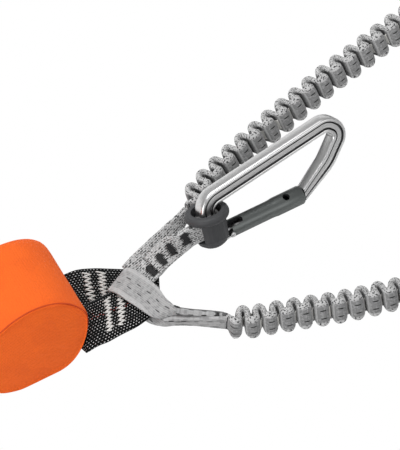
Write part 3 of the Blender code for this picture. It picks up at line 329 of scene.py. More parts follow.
# Shader groups shared by the fabrics
def maskGroup(name, vectors, numbers):
    group = bpy.data.node_groups.new(name, "ShaderNodeTree")
    for sockets, kind in ((vectors, "NodeSocketVector"), (numbers, "NodeSocketFloat")):
        for socket in sockets:
            group.interface.new_socket(name=socket, in_out="INPUT", socket_type=kind)
    group.interface.new_socket(name="mask", in_out="OUTPUT", socket_type="NodeSocketFloat")
    return group, group.nodes.new("NodeGroupInput").outputs, group.nodes.new("NodeGroupOutput").inputs


dashSizes = ("acrossPitch", "alongPitch", "halfAcross", "halfAlong")


def dashGroup():
    group, start, end = maskGroup("dashRows", (), ("across", "along", *dashSizes, "stagger"))
    rowPlace = calc(group, "DIVIDE", start["across"], start["acrossPitch"])
    odd = calc(group, "FLOORED_MODULO", calc(group, "FLOOR", rowPlace), 2.0)
    shifted = times(group, odd, start["stagger"])
    alongPlace = calc(group, "ADD", calc(group, "DIVIDE", start["along"], start["alongPitch"]), shifted)
    parts = []
    for place, pitch, half in zip((rowPlace, alongPlace), dashSizes[:2], dashSizes[2:]):
        inCell = calc(group, "SUBTRACT", calc(group, "FRACT", place), 0.5)
        share = calc(group, "DIVIDE", times(group, inCell, start[pitch]), start[half])
        parts.append(calc(group, "POWER", calc(group, "ABSOLUTE", share), 3.0))
    reach = calc(group, "ADD", *parts)
    group.links.new(remap(group, reach, 0.45, 1.7, 1.0, 0.0), end["mask"])
    return group


def speckGroup():
    group, start, end = maskGroup("specks", ("place",), ("scale", "amount"))
    speck = group.nodes.new("ShaderNodeTexNoise")
    speck.inputs["Detail"].default_value = 1.0
    group.links.new(start["place"], speck.inputs["Vector"])
    group.links.new(start["scale"], speck.inputs["Scale"])
    over = calc(group, "SUBTRACT", speck.outputs[0], start["amount"])
    group.links.new(remap(group, over, 0.0, 0.06), end["mask"])
    return group


dashRows = dashGroup()
specks = speckGroup()


def useGroup(tree, group, **values):
    node = tree.nodes.new("ShaderNodeGroup")
    node.node_tree = group
    for name, value in values.items():
        feed(tree, value, node.inputs[name])
    return node.outputs["mask"]


def dashesOf(tree, across, along, settings, stagger=0.5):
    sizes = {name: settings[name] for name in dashSizes}
    return useGroup(tree, dashRows, across=across, along=along, stagger=stagger, **sizes)


def specksOf(tree, place, settings, kind):
    return useGroup(tree, specks, place=place, scale=settings[kind + "Scale"], amount=settings[kind + "Amount"])


# A fine cross weave for bump: ribs across and along
def weaveInto(tree, shader, across, along, acrossPitch, alongPitch, bump):
    first = calc(tree, "SINE", times(tree, across, math.tau / acrossPitch))
    second = calc(tree, "SINE", times(tree, along, math.tau / alongPitch))
    bumpInto(tree, shader, times(tree, first, second), *bump)


blackWebSettings = {
    "ground": (0.003, 0.0032, 0.0035), "fleck": (0.60, 0.60, 0.60), "gloss": 0.12,
    "acrossPitch": 0.0015, "alongPitch": 0.0018, "halfAcross": 0.00021, "halfAlong": 0.00034,
    "dimScale": 260.0, "dimAmount": 0.44, "dimShare": 0.6, "roughness": 0.85, "bump": (0.6, 0.0003),
}
greyBandSettings = {
    "ground": (0.36, 0.36, 0.362), "shade": (0.12, 0.12, 0.122), "dash": (0.008, 0.008, 0.008),
    "border": (0.56, 0.56, 0.56),
    "acrossPitch": 0.0046, "alongPitch": 0.0072, "halfAcross": 0.00027, "halfAlong": 0.0015,
    "dashEnd": (0.0046, 0.0047), "streakScale": 420.0, "streakAmount": 0.5, "streakShare": 0.4,
    "warpPitch": 0.0011, "warpShare": 0.35, "borderFrom": (0.0060, 0.0068), "borderShare": 0.55,
    "weftPitch": 0.0009, "roughness": 0.75, "sheen": 0.2, "bump": (0.6, 0.0003),
}
slingSettings = {
    "ground": (0.56, 0.56, 0.56), "dash": (0.010, 0.010, 0.011), "acrossPitch": 0.0012, "alongPitch": 0.0027,
    "halfAcross": 0.00036, "halfAlong": 0.00110, "someScale": 300.0, "someAmount": 0.47, "someShare": 0.65,
    "always": 0.25, "pepperScale": 1000.0, "pepperAmount": 0.58, "pepperShare": 0.7, "weftPitch": 0.0010,
    "roughness": 0.8, "sheen": 0.2, "bump": (0.6, 0.0003),
}


def makeBlackWeb():
    settings = blackWebSettings
    material, tree, shader = surfaceOf("blackWebbingWoven", settings["roughness"])
    shader.inputs["Specular IOR Level"].default_value = settings["gloss"]
    place, across, along = uvOf(tree)
    flecks = dashesOf(tree, across, along, settings)
    dim = specksOf(tree, place, settings, "dim")
    dimmed = calc(tree, "ADD", times(tree, dim, settings["dimShare"]), 1.0 - settings["dimShare"])
    share = times(tree, flecks, dimmed)
    paintInto(tree, shader, share, settings["ground"], settings["fleck"])
    weaveInto(tree, shader, across, along, settings["acrossPitch"] * 2, settings["alongPitch"],
              settings["bump"])
    return material


def makeGreyBand():
    settings = greyBandSettings
    material, tree, shader = surfaceOf("greyBandWoven", settings["roughness"], sheen=settings["sheen"])
    place, across, along = uvOf(tree)
    dashes = dashesOf(tree, across, along, settings)
    inner = remap(tree, calc(tree, "ABSOLUTE", across), *settings["dashEnd"], 1.0, 0.0)
    dashes = times(tree, dashes, inner)
    streak = specksOf(tree, place, settings, "streak")
    streaked = times(tree, streak, settings["streakShare"])
    ground = mixColours(tree, streaked, settings["ground"], settings["shade"])
    warps = calc(tree, "SINE", times(tree, across, math.tau / settings["warpPitch"]))
    border = remap(tree, calc(tree, "ABSOLUTE", across), *settings["borderFrom"])
    for mask, share in ((remap(tree, warps, -0.6, 0.8), "warpShare"), (border, "borderShare")):
        ground = mixColours(tree, times(tree, mask, settings[share]), ground, settings["border"])
    paintInto(tree, shader, dashes, ground, settings["dash"])
    weaveInto(tree, shader, across, along, settings["warpPitch"], settings["weftPitch"], settings["bump"])
    return material


def makeSlingWeb():
    settings = slingSettings
    material, tree, shader = surfaceOf("slingWoven", settings["roughness"], sheen=settings["sheen"])
    place, across, along = uvOf(tree)
    dashes = dashesOf(tree, across, along, settings)
    some = specksOf(tree, place, settings, "some")
    kept = calc(tree, "ADD", times(tree, some, settings["someShare"]), settings["always"])
    share = times(tree, dashes, kept)
    pepper = specksOf(tree, place, settings, "pepper")
    share = calc(tree, "MAXIMUM", share, times(tree, pepper, settings["pepperShare"]))
    paintInto(tree, shader, share, settings["ground"], settings["dash"])
    weaveInto(tree, shader, across, along, settings["acrossPitch"], settings["weftPitch"], settings["bump"])
    return material


sleeveSettings = {
    "face": (0.20, 0.20, 0.202), "edge": (0.50, 0.50, 0.50), "speck": (0.022, 0.022, 0.024),
    "line": (0.42, 0.42, 0.42), "dash": (0.008, 0.008, 0.008), "edgeFrom": 0.0046, "edgeTo": 0.0056,
    "acrossPitch": 0.0048, "alongPitch": 0.007059, "halfAcross": 0.00036, "halfAlong": 0.0011,
    "bendLength": 0.014118, "firstBend": 0.004359, "ribPlace": 0.0027, "shadeFrom": 0.0034, "shadeTo": 0.0052,
    "shade": (0.05, 0.05, 0.052), "ribEdge": (0.0002, 0.0005), "ribShare": 0.75, "ridgePitch": 0.0009,
    "mottleScale": 900.0, "mottleAmount": 0.52, "mottleShare": 0.35,
    "pepperScale": 1150.0, "pepperAmount": 0.535, "roughness": 0.85, "sheen": 0.1, "bump": (0.4, 0.0002),
}


def makeSleeveWeb():
    settings = sleeveSettings
    material, tree, shader = surfaceOf("sleeveWoven", settings["roughness"], sheen=settings["sheen"])
    place, across, along = uvOf(tree)
    reach = calc(tree, "ABSOLUTE", across)
    edge = remap(tree, reach, settings["edgeFrom"], settings["edgeTo"])
    shifted = calc(tree, "SUBTRACT", along, settings["firstBend"] - settings["alongPitch"] / 2)
    dashes = dashesOf(tree, across, shifted, settings, 0.0)
    bends = calc(tree, "DIVIDE", calc(tree, "SUBTRACT", along, settings["firstBend"]), settings["bendLength"])
    fromBend = calc(tree, "ABSOLUTE", calc(tree, "SUBTRACT", bends, calc(tree, "ROUND", bends)))
    fromBend = times(tree, fromBend, settings["bendLength"])
    offRib = calc(tree, "ABSOLUTE", calc(tree, "SUBTRACT", fromBend, settings["ribPlace"]))
    rib = remap(tree, offRib, *settings["ribEdge"], 1.0, 0.0)
    ridges = calc(tree, "SINE", times(tree, along, math.tau / settings["ridgePitch"]))
    mottle = specksOf(tree, place, settings, "mottle")
    face = settings["face"]
    for mask, share in ((mottle, "mottleShare"), (rib, "ribShare")):
        face = mixColours(tree, times(tree, mask, settings[share]), face, settings["line"])
    face = mixColours(tree, remap(tree, fromBend, settings["shadeFrom"], settings["shadeTo"]), face,
                      settings["shade"])
    face = mixColours(tree, dashes, face, settings["dash"])
    pepper = specksOf(tree, place, settings, "pepper")
    rim = mixColours(tree, pepper, settings["edge"], settings["speck"])
    paintInto(tree, shader, edge, face, rim)
    bumpInto(tree, shader, ridges, *settings["bump"])
    return material


wovenBlack = makeBlackWeb()
wovenGrey = makeGreyBand()
wovenSling = makeSlingWeb()
wovenSleeve = makeSleeveWeb()
whiteThread = plainMaterial("whiteThread", (0.62, 0.61, 0.59), 0.7)
blackThread = plainMaterial("blackThread", (0.014, 0.014, 0.015), 0.8)
redThread = plainMaterial("redThread", (0.20, 0.022, 0.016), 0.75)
print("woven materials made")


# Webbing as bands
def bandAlong(points, sides, widths, matrix=None):
    if matrix:
        points = [matrix @ p for p in points]
        sides = [matrix.to_3x3() @ s for s in sides]
    band = {"points": points, "sides": [], "faces": [], "halves": [w / 2 for w in widths],
            "lengths": lengthsAlong(points)}
    for way, side in zip(tangentsOf(points), sides):
        side = side.normalized()
        band["sides"].append(side)
        band["faces"].append(way.cross(side).normalized())
    return band


def bandFrom(table, unit, width, steps, matrix=None):
    route = smoothRoute([Vector(entry[0]) * unit for entry in table], steps)
    sides = spread([Vector(entry[1]) for entry in table], len(route))
    widths = [share * width for share in spread([entry[2] for entry in table], len(route))]
    return bandAlong(route, sides, widths, matrix)


# The half section of a band: reach from its edge in thicknesses, and height in half thicknesses
edgeSection = [(0.0, 0.30), (0.10, 0.66), (0.30, 0.92), (0.62, 1.0)]
innerShares = [0.72, 0.45, 0.20]


def bandSection(half, thickness):
    side = [(half - reach * thickness, height * thickness / 2) for reach, height in edgeSection]
    side += [(half * share, thickness / 2) for share in innerShares]
    top = side + [(-across, up) for across, up in reversed(side)]
    return top + [(across, -up) for across, up in reversed(top)]


def joinRings(bm, rings):
    made = [[bm.verts.new(p) for p in ring] for ring in rings]
    walls = []
    for ring, after in zip(made, made[1:]):
        walls.append([bm.faces.new((ring[j - 1], ring[j], after[j], after[j - 1]))
                      for j in [*range(1, len(ring)), 0]])
    bm.faces.new(list(reversed(made[0])))
    bm.faces.new(made[-1])
    return walls


# Places gives each point of the rings its spot on the cloth, with one more where a ring closes.
def skinRings(bm, rings, places=None):
    places = places or [[(0.0, 0.0)] * len(ring) for ring in rings]
    layer = bm.loops.layers.uv.new("weave")
    for i, wall in enumerate(joinRings(bm, rings)):
        for j, face in enumerate(wall):
            on = (j + 1) % len(places[i])
            for loop, (ring, spot) in zip(face.loops, ((i, j), (i, on), (i + 1, on), (i + 1, j))):
                loop[layer].uv = places[ring][spot]
    bmesh.ops.recalc_face_normals(bm, faces=bm.faces)


# Where a band is drawn in narrower than its weave it gathers and grows thicker.
gatherSettings = {"below": 0.85, "most": 2.4}


def layBand(name, band, thickness, material, replaced, full=None):
    bm = bmesh.new()
    rings = []
    places = []
    for point, side, face, half, gone in zip(band["points"], band["sides"], band["faces"], band["halves"],
                                             band["lengths"]):
        share = half * 2 / full if full else 1.0
        grown = min(gatherSettings["most"], max(1.0, gatherSettings["below"] / share))
        section = bandSection(half, thickness * grown)
        rings.append([point + side * across + face * up for across, up in section])
        places.append([(across, gone) for across, up in section])
    skinRings(bm, rings, places)
    piece = finishPiece(name, bm, material, "pouch", 55.0)
    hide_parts(replaced)


def onBand(band, along, across, lift):
    lengths = band["lengths"]
    along = min(max(along, 0.0), lengths[-1])
    i = 0
    while i < len(lengths) - 2 and lengths[i + 1] < along:
        i += 1
    t = (along - lengths[i]) / max(lengths[i + 1] - lengths[i], 1e-9)
    point = band["points"][i].lerp(band["points"][i + 1], t)
    side = band["sides"][i].lerp(band["sides"][i + 1], t).normalized()
    face = band["faces"][i].lerp(band["faces"][i + 1], t).normalized()
    return point + side * across + face * lift


def sewThread(bm, points, radius, sides=6):
    ways = tangentsOf(points)
    rings = []
    for point, way in zip(points, ways):
        first = way.orthogonal().normalized() if not rings else (first - way * first.dot(way)).normalized()
        second = way.cross(first)
        rings.append([point + first * across + second * up for across, up in circleSpots(sides, radius)])
    joinRings(bm, rings)


def sewPiece(name, lines, radius, material):
    bm = bmesh.new()
    for line in lines:
        sewThread(bm, line, radius)
    finishPiece(name, bm, material, "pouch")


# Follows (along, across) places on a band, arched between them
def alongBand(band, points, steps, lift, arch=0.0):
    found = []
    for (a, b), (c, d) in zip(points, points[1:]):
        for k in range(steps):
            t = k / steps
            rise = math.copysign(math.sin(math.pi * t) * arch, lift)
            found.append(onBand(band, between(a, c, t), between(b, d, t), lift + rise))
    return found


threadSettings = {"radius": 0.00046, "lift": 0.00012, "jitter": 0.18, "jitterAcross": 0.25, "arch": 0.0002}


# A zigzag column across a band, leaning from one place along it to another
def zigzagPoints(band, settings):
    jitter = threadSettings["jitter"]
    reach = settings["reach"]
    turns = settings["turns"] * 2
    points = []
    for i in range(turns + 1):
        along, across = (between(a, b, i / turns) for a, b in zip(settings["first"], settings["last"]))
        along += (reach if i % 2 else -reach) * random.uniform(1 - jitter, 1 + jitter)
        across += random.uniform(-jitter, jitter) * reach * threadSettings["jitterAcross"]
        points.append((along, across))
    lift = settings["lift"] * (blackThickness / 2 + threadSettings["lift"])
    return alongBand(band, points, 4, lift, threadSettings["arch"])


random.seed(7)
cornerTurn = Matrix.Rotation(math.radians(28.9), 4, "Z")
pouchHalf = 0.0343
junctionReach = 0.100
blackWidth = 0.025
blackThickness = 0.0020
greyWidth = 0.018
greyThickness = 0.0018
slingWidth = 0.0112
slingThickness = 0.0016
slingLayerGap = 0.0004
slingExtra = 0.0030
bandSteps = 8

# Along the webbing: places and the width's share, and in the other tables the width's way between them
harnessPlaces = [
    (0.330, -0.110, 0.146, 0.70), (0.250, -0.130, 0.134, 0.74), (0.160, -0.185, 0.104, 0.84),
    (0.050, -0.262, 0.062, 0.96), (-0.100, -0.330, 0.042, 1.0), (-0.400, -0.370, 0.038, 1.0),
    (-0.900, -0.370, 0.038, 1.0), (-1.300, -0.370, 0.055, 1.0), (-1.560, -0.370, 0.150, 1.0),
    (-1.650, -0.370, 0.310, 1.0), (-1.590, -0.370, 0.480, 1.0), (-1.380, -0.370, 0.570, 1.0),
    (-1.050, -0.370, 0.550, 1.0), (-0.700, -0.370, 0.440, 1.0), (-0.380, -0.350, 0.320, 1.0),
    (-0.120, -0.250, 0.235, 0.86), (0.060, -0.155, 0.208, 0.70), (0.200, -0.110, 0.212, 0.66),
    (0.330, -0.100, 0.220, 0.64),
]
harnessTable = [(place, (0.0, 1.0, 0.0), share) for *place, share in harnessPlaces]
frontTable = [
    ((0.385, 0.395, 0.062), (-0.40, 0.91, 0.0), 0.80), ((0.470, 0.440, 0.060), (-0.30, 0.95, 0.0), 0.94),
    ((0.550, 0.480, 0.052), (-0.12, 0.99, 0.0), 1.0), ((0.640, 0.503, 0.030), (-0.12, 0.99, 0.0), 1.0),
    ((0.730, 0.508, 0.016), (-0.03, 1.0, 0.0), 1.0), ((0.840, 0.504, 0.015), (-0.03, 1.0, 0.0), 1.0),
    ((0.930, 0.501, 0.015), (-0.05, 1.0, 0.0), 1.0), ((0.972, 0.500, 0.0165), (-0.05, 1.0, 0.0), 1.0),
    ((0.994, 0.500, 0.028), (-0.05, 1.0, 0.0), 1.0), ((0.998, 0.500, 0.040), (-0.05, 1.0, 0.0), 1.0),
    ((0.991, 0.498, 0.053), (-0.05, 1.0, 0.0), 1.0), ((0.968, 0.470, 0.0635), (-0.30, 0.95, 0.0), 0.95),
    ((0.930, 0.431, 0.066), (-0.40, 0.91, 0.0), 0.94), ((0.888, 0.392, 0.068), (-0.44, 0.89, 0.0), 0.98),
    ((0.829, 0.345, 0.072), (-0.42, 0.90, 0.0), 1.0), ((0.755, 0.306, 0.078), (-0.36, 0.93, 0.0), 1.06),
    ((0.690, 0.262, 0.087), (-0.30, 0.94, 0.05), 1.06), ((0.640, 0.236, 0.089), (-0.22, 0.96, 0.12), 1.04),
    ((0.590, 0.197, 0.085), (-0.14, 0.97, 0.18), 1.0), ((0.545, 0.184, 0.074), (-0.45, 0.87, 0.16), 0.90),
    ((0.500, 0.183, 0.066), (-0.69, 0.73, 0.14), 0.72),
]
greyTable = [
    ((1.365, 0.276, 0.1100), (0.0, 0.10, 0.99), 0.26), ((1.290, 0.283, 0.1150), (0.0, -0.10, 0.99), 0.30),
    ((1.190, 0.293, 0.1180), (0.0, -0.30, 0.95), 0.32), ((1.110, 0.304, 0.1180), (0.0, -0.30, 0.95), 0.34),
    ((1.065, 0.306, 0.1160), (0.4, 0.40, 0.70), 0.52), ((1.010, 0.330, 0.1135), (0.57, 0.80, 0.2), 0.72),
    ((0.949, 0.393, 0.1135), (0.56, 0.83, 0.0), 0.96), ((0.880, 0.450, 0.1135), (0.56, 0.83, 0.0), 1.02),
    ((0.818, 0.499, 0.1095), (0.56, 0.83, 0.0), 1.02), ((0.770, 0.528, 0.0745), (0.56, 0.83, 0.0), 0.98),
    ((0.820, 0.490, 0.0415), (0.56, 0.83, 0.0), 0.90), ((0.885, 0.410, 0.0385), (0.60, 0.80, 0.0), 0.70),
    ((0.945, 0.335, 0.0385), (0.66, 0.75, 0.0), 0.50), ((0.995, 0.290, 0.0430), (0.60, 0.70, 0.3), 0.34),
    ((1.040, 0.273, 0.0620), (0.1, 0.20, 0.95), 0.34), ((1.100, 0.270, 0.0780), (0.0, 0.0, 1.0), 0.38),
    ((1.190, 0.264, 0.0870), (0.0, 0.0, 1.0), 0.40), ((1.290, 0.253, 0.0925), (0.0, 0.10, 0.98), 0.48),
    ((1.385, 0.245, 0.0980), (0.0, 0.10, 0.97), 0.62),
]
rootWidth = 0.0150
rootTable = [
    ((1.160, 0.960, 0.104), (-0.30, 0.32, 0.90), 0.40), ((1.128, 0.905, 0.098), (-0.40, 0.41, 0.80), 0.54),
    ((1.072, 0.824, 0.090), (-0.55, 0.57, 0.50), 0.78), ((0.998, 0.738, 0.083), (-0.60, 0.62, 0.40), 0.90),
    ((0.936, 0.676, 0.080), (-0.62, 0.64, 0.35), 0.86), ((0.890, 0.636, 0.077), (-0.64, 0.66, 0.30), 0.78),
    ((0.862, 0.611, 0.075), (-0.64, 0.66, 0.30), 0.72), ((0.838, 0.588, 0.073), (-0.64, 0.66, 0.30), 0.66),
]

harnessBand = bandFrom(harnessTable, pouchHalf, blackWidth, bandSteps, cornerTurn)
layBand("harnessStrap", harnessBand, blackThickness, wovenBlack, "harness_loop")
frontBand = bandFrom(frontTable, junctionReach, blackWidth, bandSteps)
layBand("frontStrap", frontBand, blackThickness, wovenBlack, "front_loop")
greyBand = bandFrom(greyTable, junctionReach, greyWidth, bandSteps)
layBand("greyStrap", greyBand, greyThickness, wovenGrey, "lower_arm_loop", greyWidth)
print("black and grey straps laid")

# Zigzag columns: (along, across) at their two ends on the band, turns and reach
tackSettings = [
    {"first": (0.0240, 0.0095), "last": (0.0258, -0.0100), "turns": 7, "reach": 0.0026, "lift": 1},
    {"first": (0.0324, 0.0098), "last": (0.0335, -0.0060), "turns": 7, "reach": 0.0025, "lift": 1},
    {"first": (0.0985, 0.0105), "last": (0.1038, -0.0085), "turns": 9, "reach": 0.0022, "lift": -1},
    {"first": (0.0894, 0.0105), "last": (0.0966, -0.0085), "turns": 8, "reach": 0.0023, "lift": -1},
]
sewPiece("frontTacks", [zigzagPoints(frontBand, settings) for settings in tackSettings],
         threadSettings["radius"], whiteThread)
# A thin red thread runs along the front leg in short stitches.
redSettings = {"first": (0.1120, 0.0037), "last": (0.0850, 0.0017), "count": 15, "filled": 0.62,
               "sway": 0.0005, "lift": 0.00005, "radius": 0.00026}
stitches = []
for i in range(redSettings["count"]):
    stitches.append([])
    for part in (0.0, 0.5, 1.0):
        t = (i + redSettings["filled"] * part) / redSettings["count"]
        along, across = (between(a, b, t) for a, b in zip(redSettings["first"], redSettings["last"]))
        across += redSettings["sway"] if i % 2 else -redSettings["sway"]
        stitches[-1].append(onBand(frontBand, along, across, -blackThickness / 2 - redSettings["lift"]))
sewPiece("redStitches", stitches, redSettings["radius"], redThread)
# The front leg's upper selvedge is rolled.
rolled = {"from": 0.0800, "to": 0.1220, "inset": 0.0004, "sink": 0.0004, "radius": 0.0007, "steps": 60}
edge = []
for i in range(rolled["steps"] + 1):
    along = between(rolled["from"], rolled["to"], i / rolled["steps"])
    place = min(range(len(frontBand["lengths"])), key=lambda k: abs(frontBand["lengths"][k] - along))
    edge.append(onBand(frontBand, along, frontBand["halves"][place] - rolled["inset"], -rolled["sink"]))
sewPiece("rolledEdge", [edge], rolled["radius"], blackThread)
print("tacks sewn")


# The carabiner's own frame, and the webbing that goes round its heel
def frameAt(nose, heading, tilt):
    turn = Matrix.Rotation(math.radians(heading), 4, "Z")
    roll = Matrix.Rotation(math.radians(tilt), 4, "X")
    return Matrix.Translation(nose) @ turn @ roll


restFrame = frameAt(Vector((0.18152, 0.10981, 0.0060)), 37.4, 57.2)
restHeel = {"heel": 0.0589, "middle": 0.0176}
endHeel = {"heel": 0.0672, "middle": 0.0215}
webBend = 0.0066
layerOffset = (slingThickness + slingLayerGap) / 2
leadShares = [(-2.15, 0.0), (-1.35, 0.20), (-0.73, 0.66)]
# The sling widens away from the heel.
slingSpread = {"from": 0.012, "over": 0.014}


def hairpin(heelSettings):
    heel = -heelSettings["heel"]
    y = heelSettings["middle"]
    first = [Vector((heel + along * webBend, y, -between(layerOffset, webBend, out)))
             for along, out in leadShares]
    roundBar = [Vector((heel + webBend * math.sin(math.radians(a)), y, -webBend * math.cos(math.radians(a))))
                for a in (0, 45, 90, 135, 180)]
    last = [Vector((p.x, p.y, -p.z)) for p in reversed(first)]
    return first + roundBar + last


def layerOf(points, faces, offset):
    return [p + f * offset for p, f in zip(points, faces)]


# The loop's end nearer to where the lower layer stops comes first.
def startingNear(loop, place):
    return loop if (loop[0] - place).length < (loop[-1] - place).length else loop[::-1]


def restSlingBand():
    flat = Vector((-0.70, 0.71, 0.0))
    steep = (restFrame.to_3x3() @ Vector((0.0, 1.0, 0.0))).normalized()
    loop = [restFrame @ p for p in hairpin(restHeel)]
    entry = (loop[0] + loop[-1]) / 2
    placeShares = [(0.845, 0.455, 0.0870), (0.905, 0.512, 0.0870), (0.962, 0.571, 0.1000),
                   (1.018, 0.630, 0.120), (1.080, 0.674, 0.156), (1.130, 0.696, 0.190)]
    middle = [Vector(p) * junctionReach for p in placeShares] + [entry]
    lead = smoothRoute(middle, 3)
    way = tangentsOf(lead)
    way[-1] = (restFrame.to_3x3() @ Vector((1.0, 0.0, 0.0))).normalized()
    sides = spread([flat, flat, flat, (flat + steep * 0.6).normalized(), (flat + steep * 1.6).normalized(),
                    steep, steep], len(lead))
    faces = [t.cross((s - t * s.dot(t)).normalized()) for t, s in zip(way, sides)]
    if faces[0].z < 0:
        faces = [-f for f in faces]
    overStart = 7
    over, below = (layerOf(lead[overStart:], faces[overStart:], way * layerOffset) for way in (1, -1))
    under = lead[:overStart] + below
    turn = smoothRoute(startingNear(loop, under[-1]), 2)
    points = under[:-1] + turn + over[:-1][::-1]
    sides = sides[:-1] + [steep] * len(turn) + sides[overStart:-1][::-1]
    fine = smoothRoute(points, 3)
    sides = [side.normalized() for side in spread(sides, len(fine))]
    heel = restFrame @ Vector((-restHeel["heel"], restHeel["middle"], 0.0))
    moved = []
    widths = []
    for point, side in zip(fine, sides):
        far = limited(((point - heel).length - slingSpread["from"]) / slingSpread["over"])
        widths.append(slingWidth + slingExtra * far)
        moved.append(point + side * (slingExtra / 2 * far))
    return bandAlong(moved, sides, widths)


slingBand = restSlingBand()
layBand("restSlingWebbing", slingBand, slingThickness, wovenSling, "rest_sling")


def rootBand():
    middle = smoothRoute([Vector(place) * junctionReach for place, side, share in rootTable], 6)
    widths = [share * rootWidth for share in spread([share for place, side, share in rootTable], len(middle))]
    leans = spread([Vector(side) for place, side, share in rootTable], len(middle))
    ways = tangentsOf(middle)
    faces = [t.cross((lean - t * lean.dot(t)).normalized()) for t, lean in zip(ways, leans)]
    out, back = (layerOf(middle, faces, way * layerOffset) for way in (1, -1))
    tip = middle[-1]
    turn = []
    for degrees in (30, 60, 90, 120, 150):
        angle = math.radians(degrees)
        turn.append(tip + (ways[-1] * math.sin(angle) + faces[-1] * math.cos(angle)) * layerOffset)
    route = out + turn + back[::-1]
    return bandAlong(route, leans + [leans[-1]] * len(turn) + leans[::-1],
                     widths + [widths[-1]] * len(turn) + widths[::-1])


upperRootBand = rootBand()
layBand("upperArmRoot", upperRootBand, slingThickness, wovenSling, "upper_arm_loop")
print("sling and upper root laid")


# Arms: a padded band on edge, gathered into half round bends with short legs between
armSettings = {
    "width": 0.0164, "thickness": 0.0041, "cloth": 0.028236, "leg": 0.0027, "lean": 55.0, "bendSteps": 9,
    "rimSteps": 8, "flatShares": [0.86, 0.43, 0.0, -0.43, -0.86], "rootWidth": 0.0100, "rootThickness": 0.0036,
    "uneven": 0.10, "unevenScale": 160.0, "barrel": 0.16, "rimShare": 0.74, "rimPower": 2.2, "start": 0.0022,
    "legNarrow": 0.20, "samples": 3200, "startLean": 78.0, "leanUntil": 0.12, "flatFrom": 0.72, "sway": 5.0,
    "swayScale": 90.0, "grownAfter": 0.45, "fullAfter": 0.5, "lowest": 0.0002,
}


def gatherTurn(pitch):
    settings = armSettings
    bend = pitch / 4
    turnLength = math.tau * bend + 4 * settings["leg"]
    turn = []
    for middle, way in ((0.25, 1), (0.75, -1)):
        for k in range(settings["bendSteps"] + 1):
            angle = math.pi * k / settings["bendSteps"]
            onCloth = bend * (angle + (0 if way > 0 else math.pi)) + (0 if way > 0 else 2 * settings["leg"])
            turn.append((middle - math.cos(angle) / 4, way * (settings["leg"] + bend * math.sin(angle)),
                         onCloth / turnLength * settings["cloth"], math.sin(angle)))
    return turn


def padSection(width, thickness):
    settings = armSettings
    radius = thickness / 2
    half = width / 2 - radius
    section = []
    for way in (1, -1):
        for k in range(settings["rimSteps"] + 1):
            angle = -math.pi / 2 + math.pi * k / settings["rimSteps"]
            onCloth = way * (half + radius * (math.pi / 2 - abs(angle)))
            section.append((way * (half + radius * math.cos(angle)), way * radius * math.sin(angle), onCloth))
        section += [(way * half * share, way * radius, way * half * share) for share in settings["flatShares"]]
    return section


def armLine(route, wanted):
    settings = armSettings
    fine = smoothRoute(route, 6)
    length = lengthsAlong(fine)[-1]
    samples = settings["samples"]
    even = evenly(fine, samples + 1)
    ways = tangentsOf(even)
    straight = settings["start"]
    waves = round((length - 2 * straight) / wanted)
    pitch = (length - 2 * straight) / waves
    turn = gatherTurn(pitch)
    turnCloth = settings["cloth"]
    spots = [(straight * i / 3, 0.0, straight * (i / 3 - 1), 1.0) for i in range(3)]
    for wave in range(waves):
        for along, out, onCloth, crest in turn:
            spots.append((straight + (wave + along) * pitch, out, onCloth + wave * turnCloth, crest))
    spots += [(length - straight + straight * i / 3, 0.0, waves * turnCloth + straight * i / 3, 1.0)
              for i in range(1, 4)]
    found = []
    for place, out, onCloth, crest in spots:
        share = place / length
        index = min(samples, max(0, round(share * samples)))
        along = ways[index]
        lean = settings["lean"]
        if share < settings["leanUntil"]:
            lean = between(lean, settings["startLean"], 1 - share / settings["leanUntil"])
        if share > settings["flatFrom"]:
            lean *= 1 - (share - settings["flatFrom"]) / (1 - settings["flatFrom"])
        lean = math.radians(lean + settings["sway"] * noise.noise(even[index] * settings["swayScale"]))
        level = Vector((-along.y, along.x, 0.0)).normalized()
        rise = Vector((0.0, 0.0, 1.0))
        widthWay = level * math.cos(lean) + rise * math.sin(lean)
        waveWay = rise * math.cos(lean) - level * math.sin(lean)
        grown = limited((min(place, length - place) - straight * 0.5) / (pitch * settings["grownAfter"]))
        grown = grown * grown * (3 - 2 * grown)
        swing = grown * (1 + settings["uneven"] * noise.noise(even[index] * settings["unevenScale"]))
        near = min(1.0, place / (pitch * settings["fullAfter"]))
        narrowed = 1 - settings["legNarrow"] * (1 - crest)
        found.append({"centre": even[index] + waveWay * (out * swing), "side": widthWay,
                      "swing": waveWay * (out * swing), "cloth": onCloth,
                      "width": between(settings["rootWidth"], settings["width"], near) * narrowed,
                      "thickness": between(settings["rootThickness"], settings["thickness"], near)})
    return found, length


def layArm(name, route, pitch, prefix):
    settings = armSettings
    line, length = armLine(route, pitch)
    centres = [spot["centre"] for spot in line]
    bm = bmesh.new()
    rings = []
    places = []
    for spot, way in zip(line, tangentsOf(centres)):
        side = (spot["side"] - way * spot["side"].dot(way)).normalized()
        face = way.cross(side)
        section = padSection(spot["width"], spot["thickness"])
        ring = []
        for across, up, onCloth in section:
            outward = min(1.0, abs(across) * 2 / spot["width"]) ** settings["rimPower"]
            thin = 1.0 - (1.0 - settings["rimShare"]) * outward
            ring.append(spot["centre"] - spot["swing"] * (settings["barrel"] * outward) + side * across
                        + face * (up * thin))
            ring[-1].z = max(ring[-1].z, settings["lowest"])
        rings.append(ring)
        places.append([(onCloth, spot["cloth"]) for across, up, onCloth in section])
    skinRings(bm, rings, places)
    sleeve = finishPiece(name, bm, wovenSleeve, "pouch", 80.0)
    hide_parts(prefix + "_arm_sleeve")
    [tuple(p + home) for p in evenly(smoothRoute(route, 6), 240)]
    return length


lowerLength = layArm("lowerSleeve", lowerArmRoute, 0.0098, "lower")
upperLength = layArm("upperSleeve", upperArmRoute, 0.0109, "upper")
print("arms laid", round(lowerLength, 4), round(upperLength, 4))


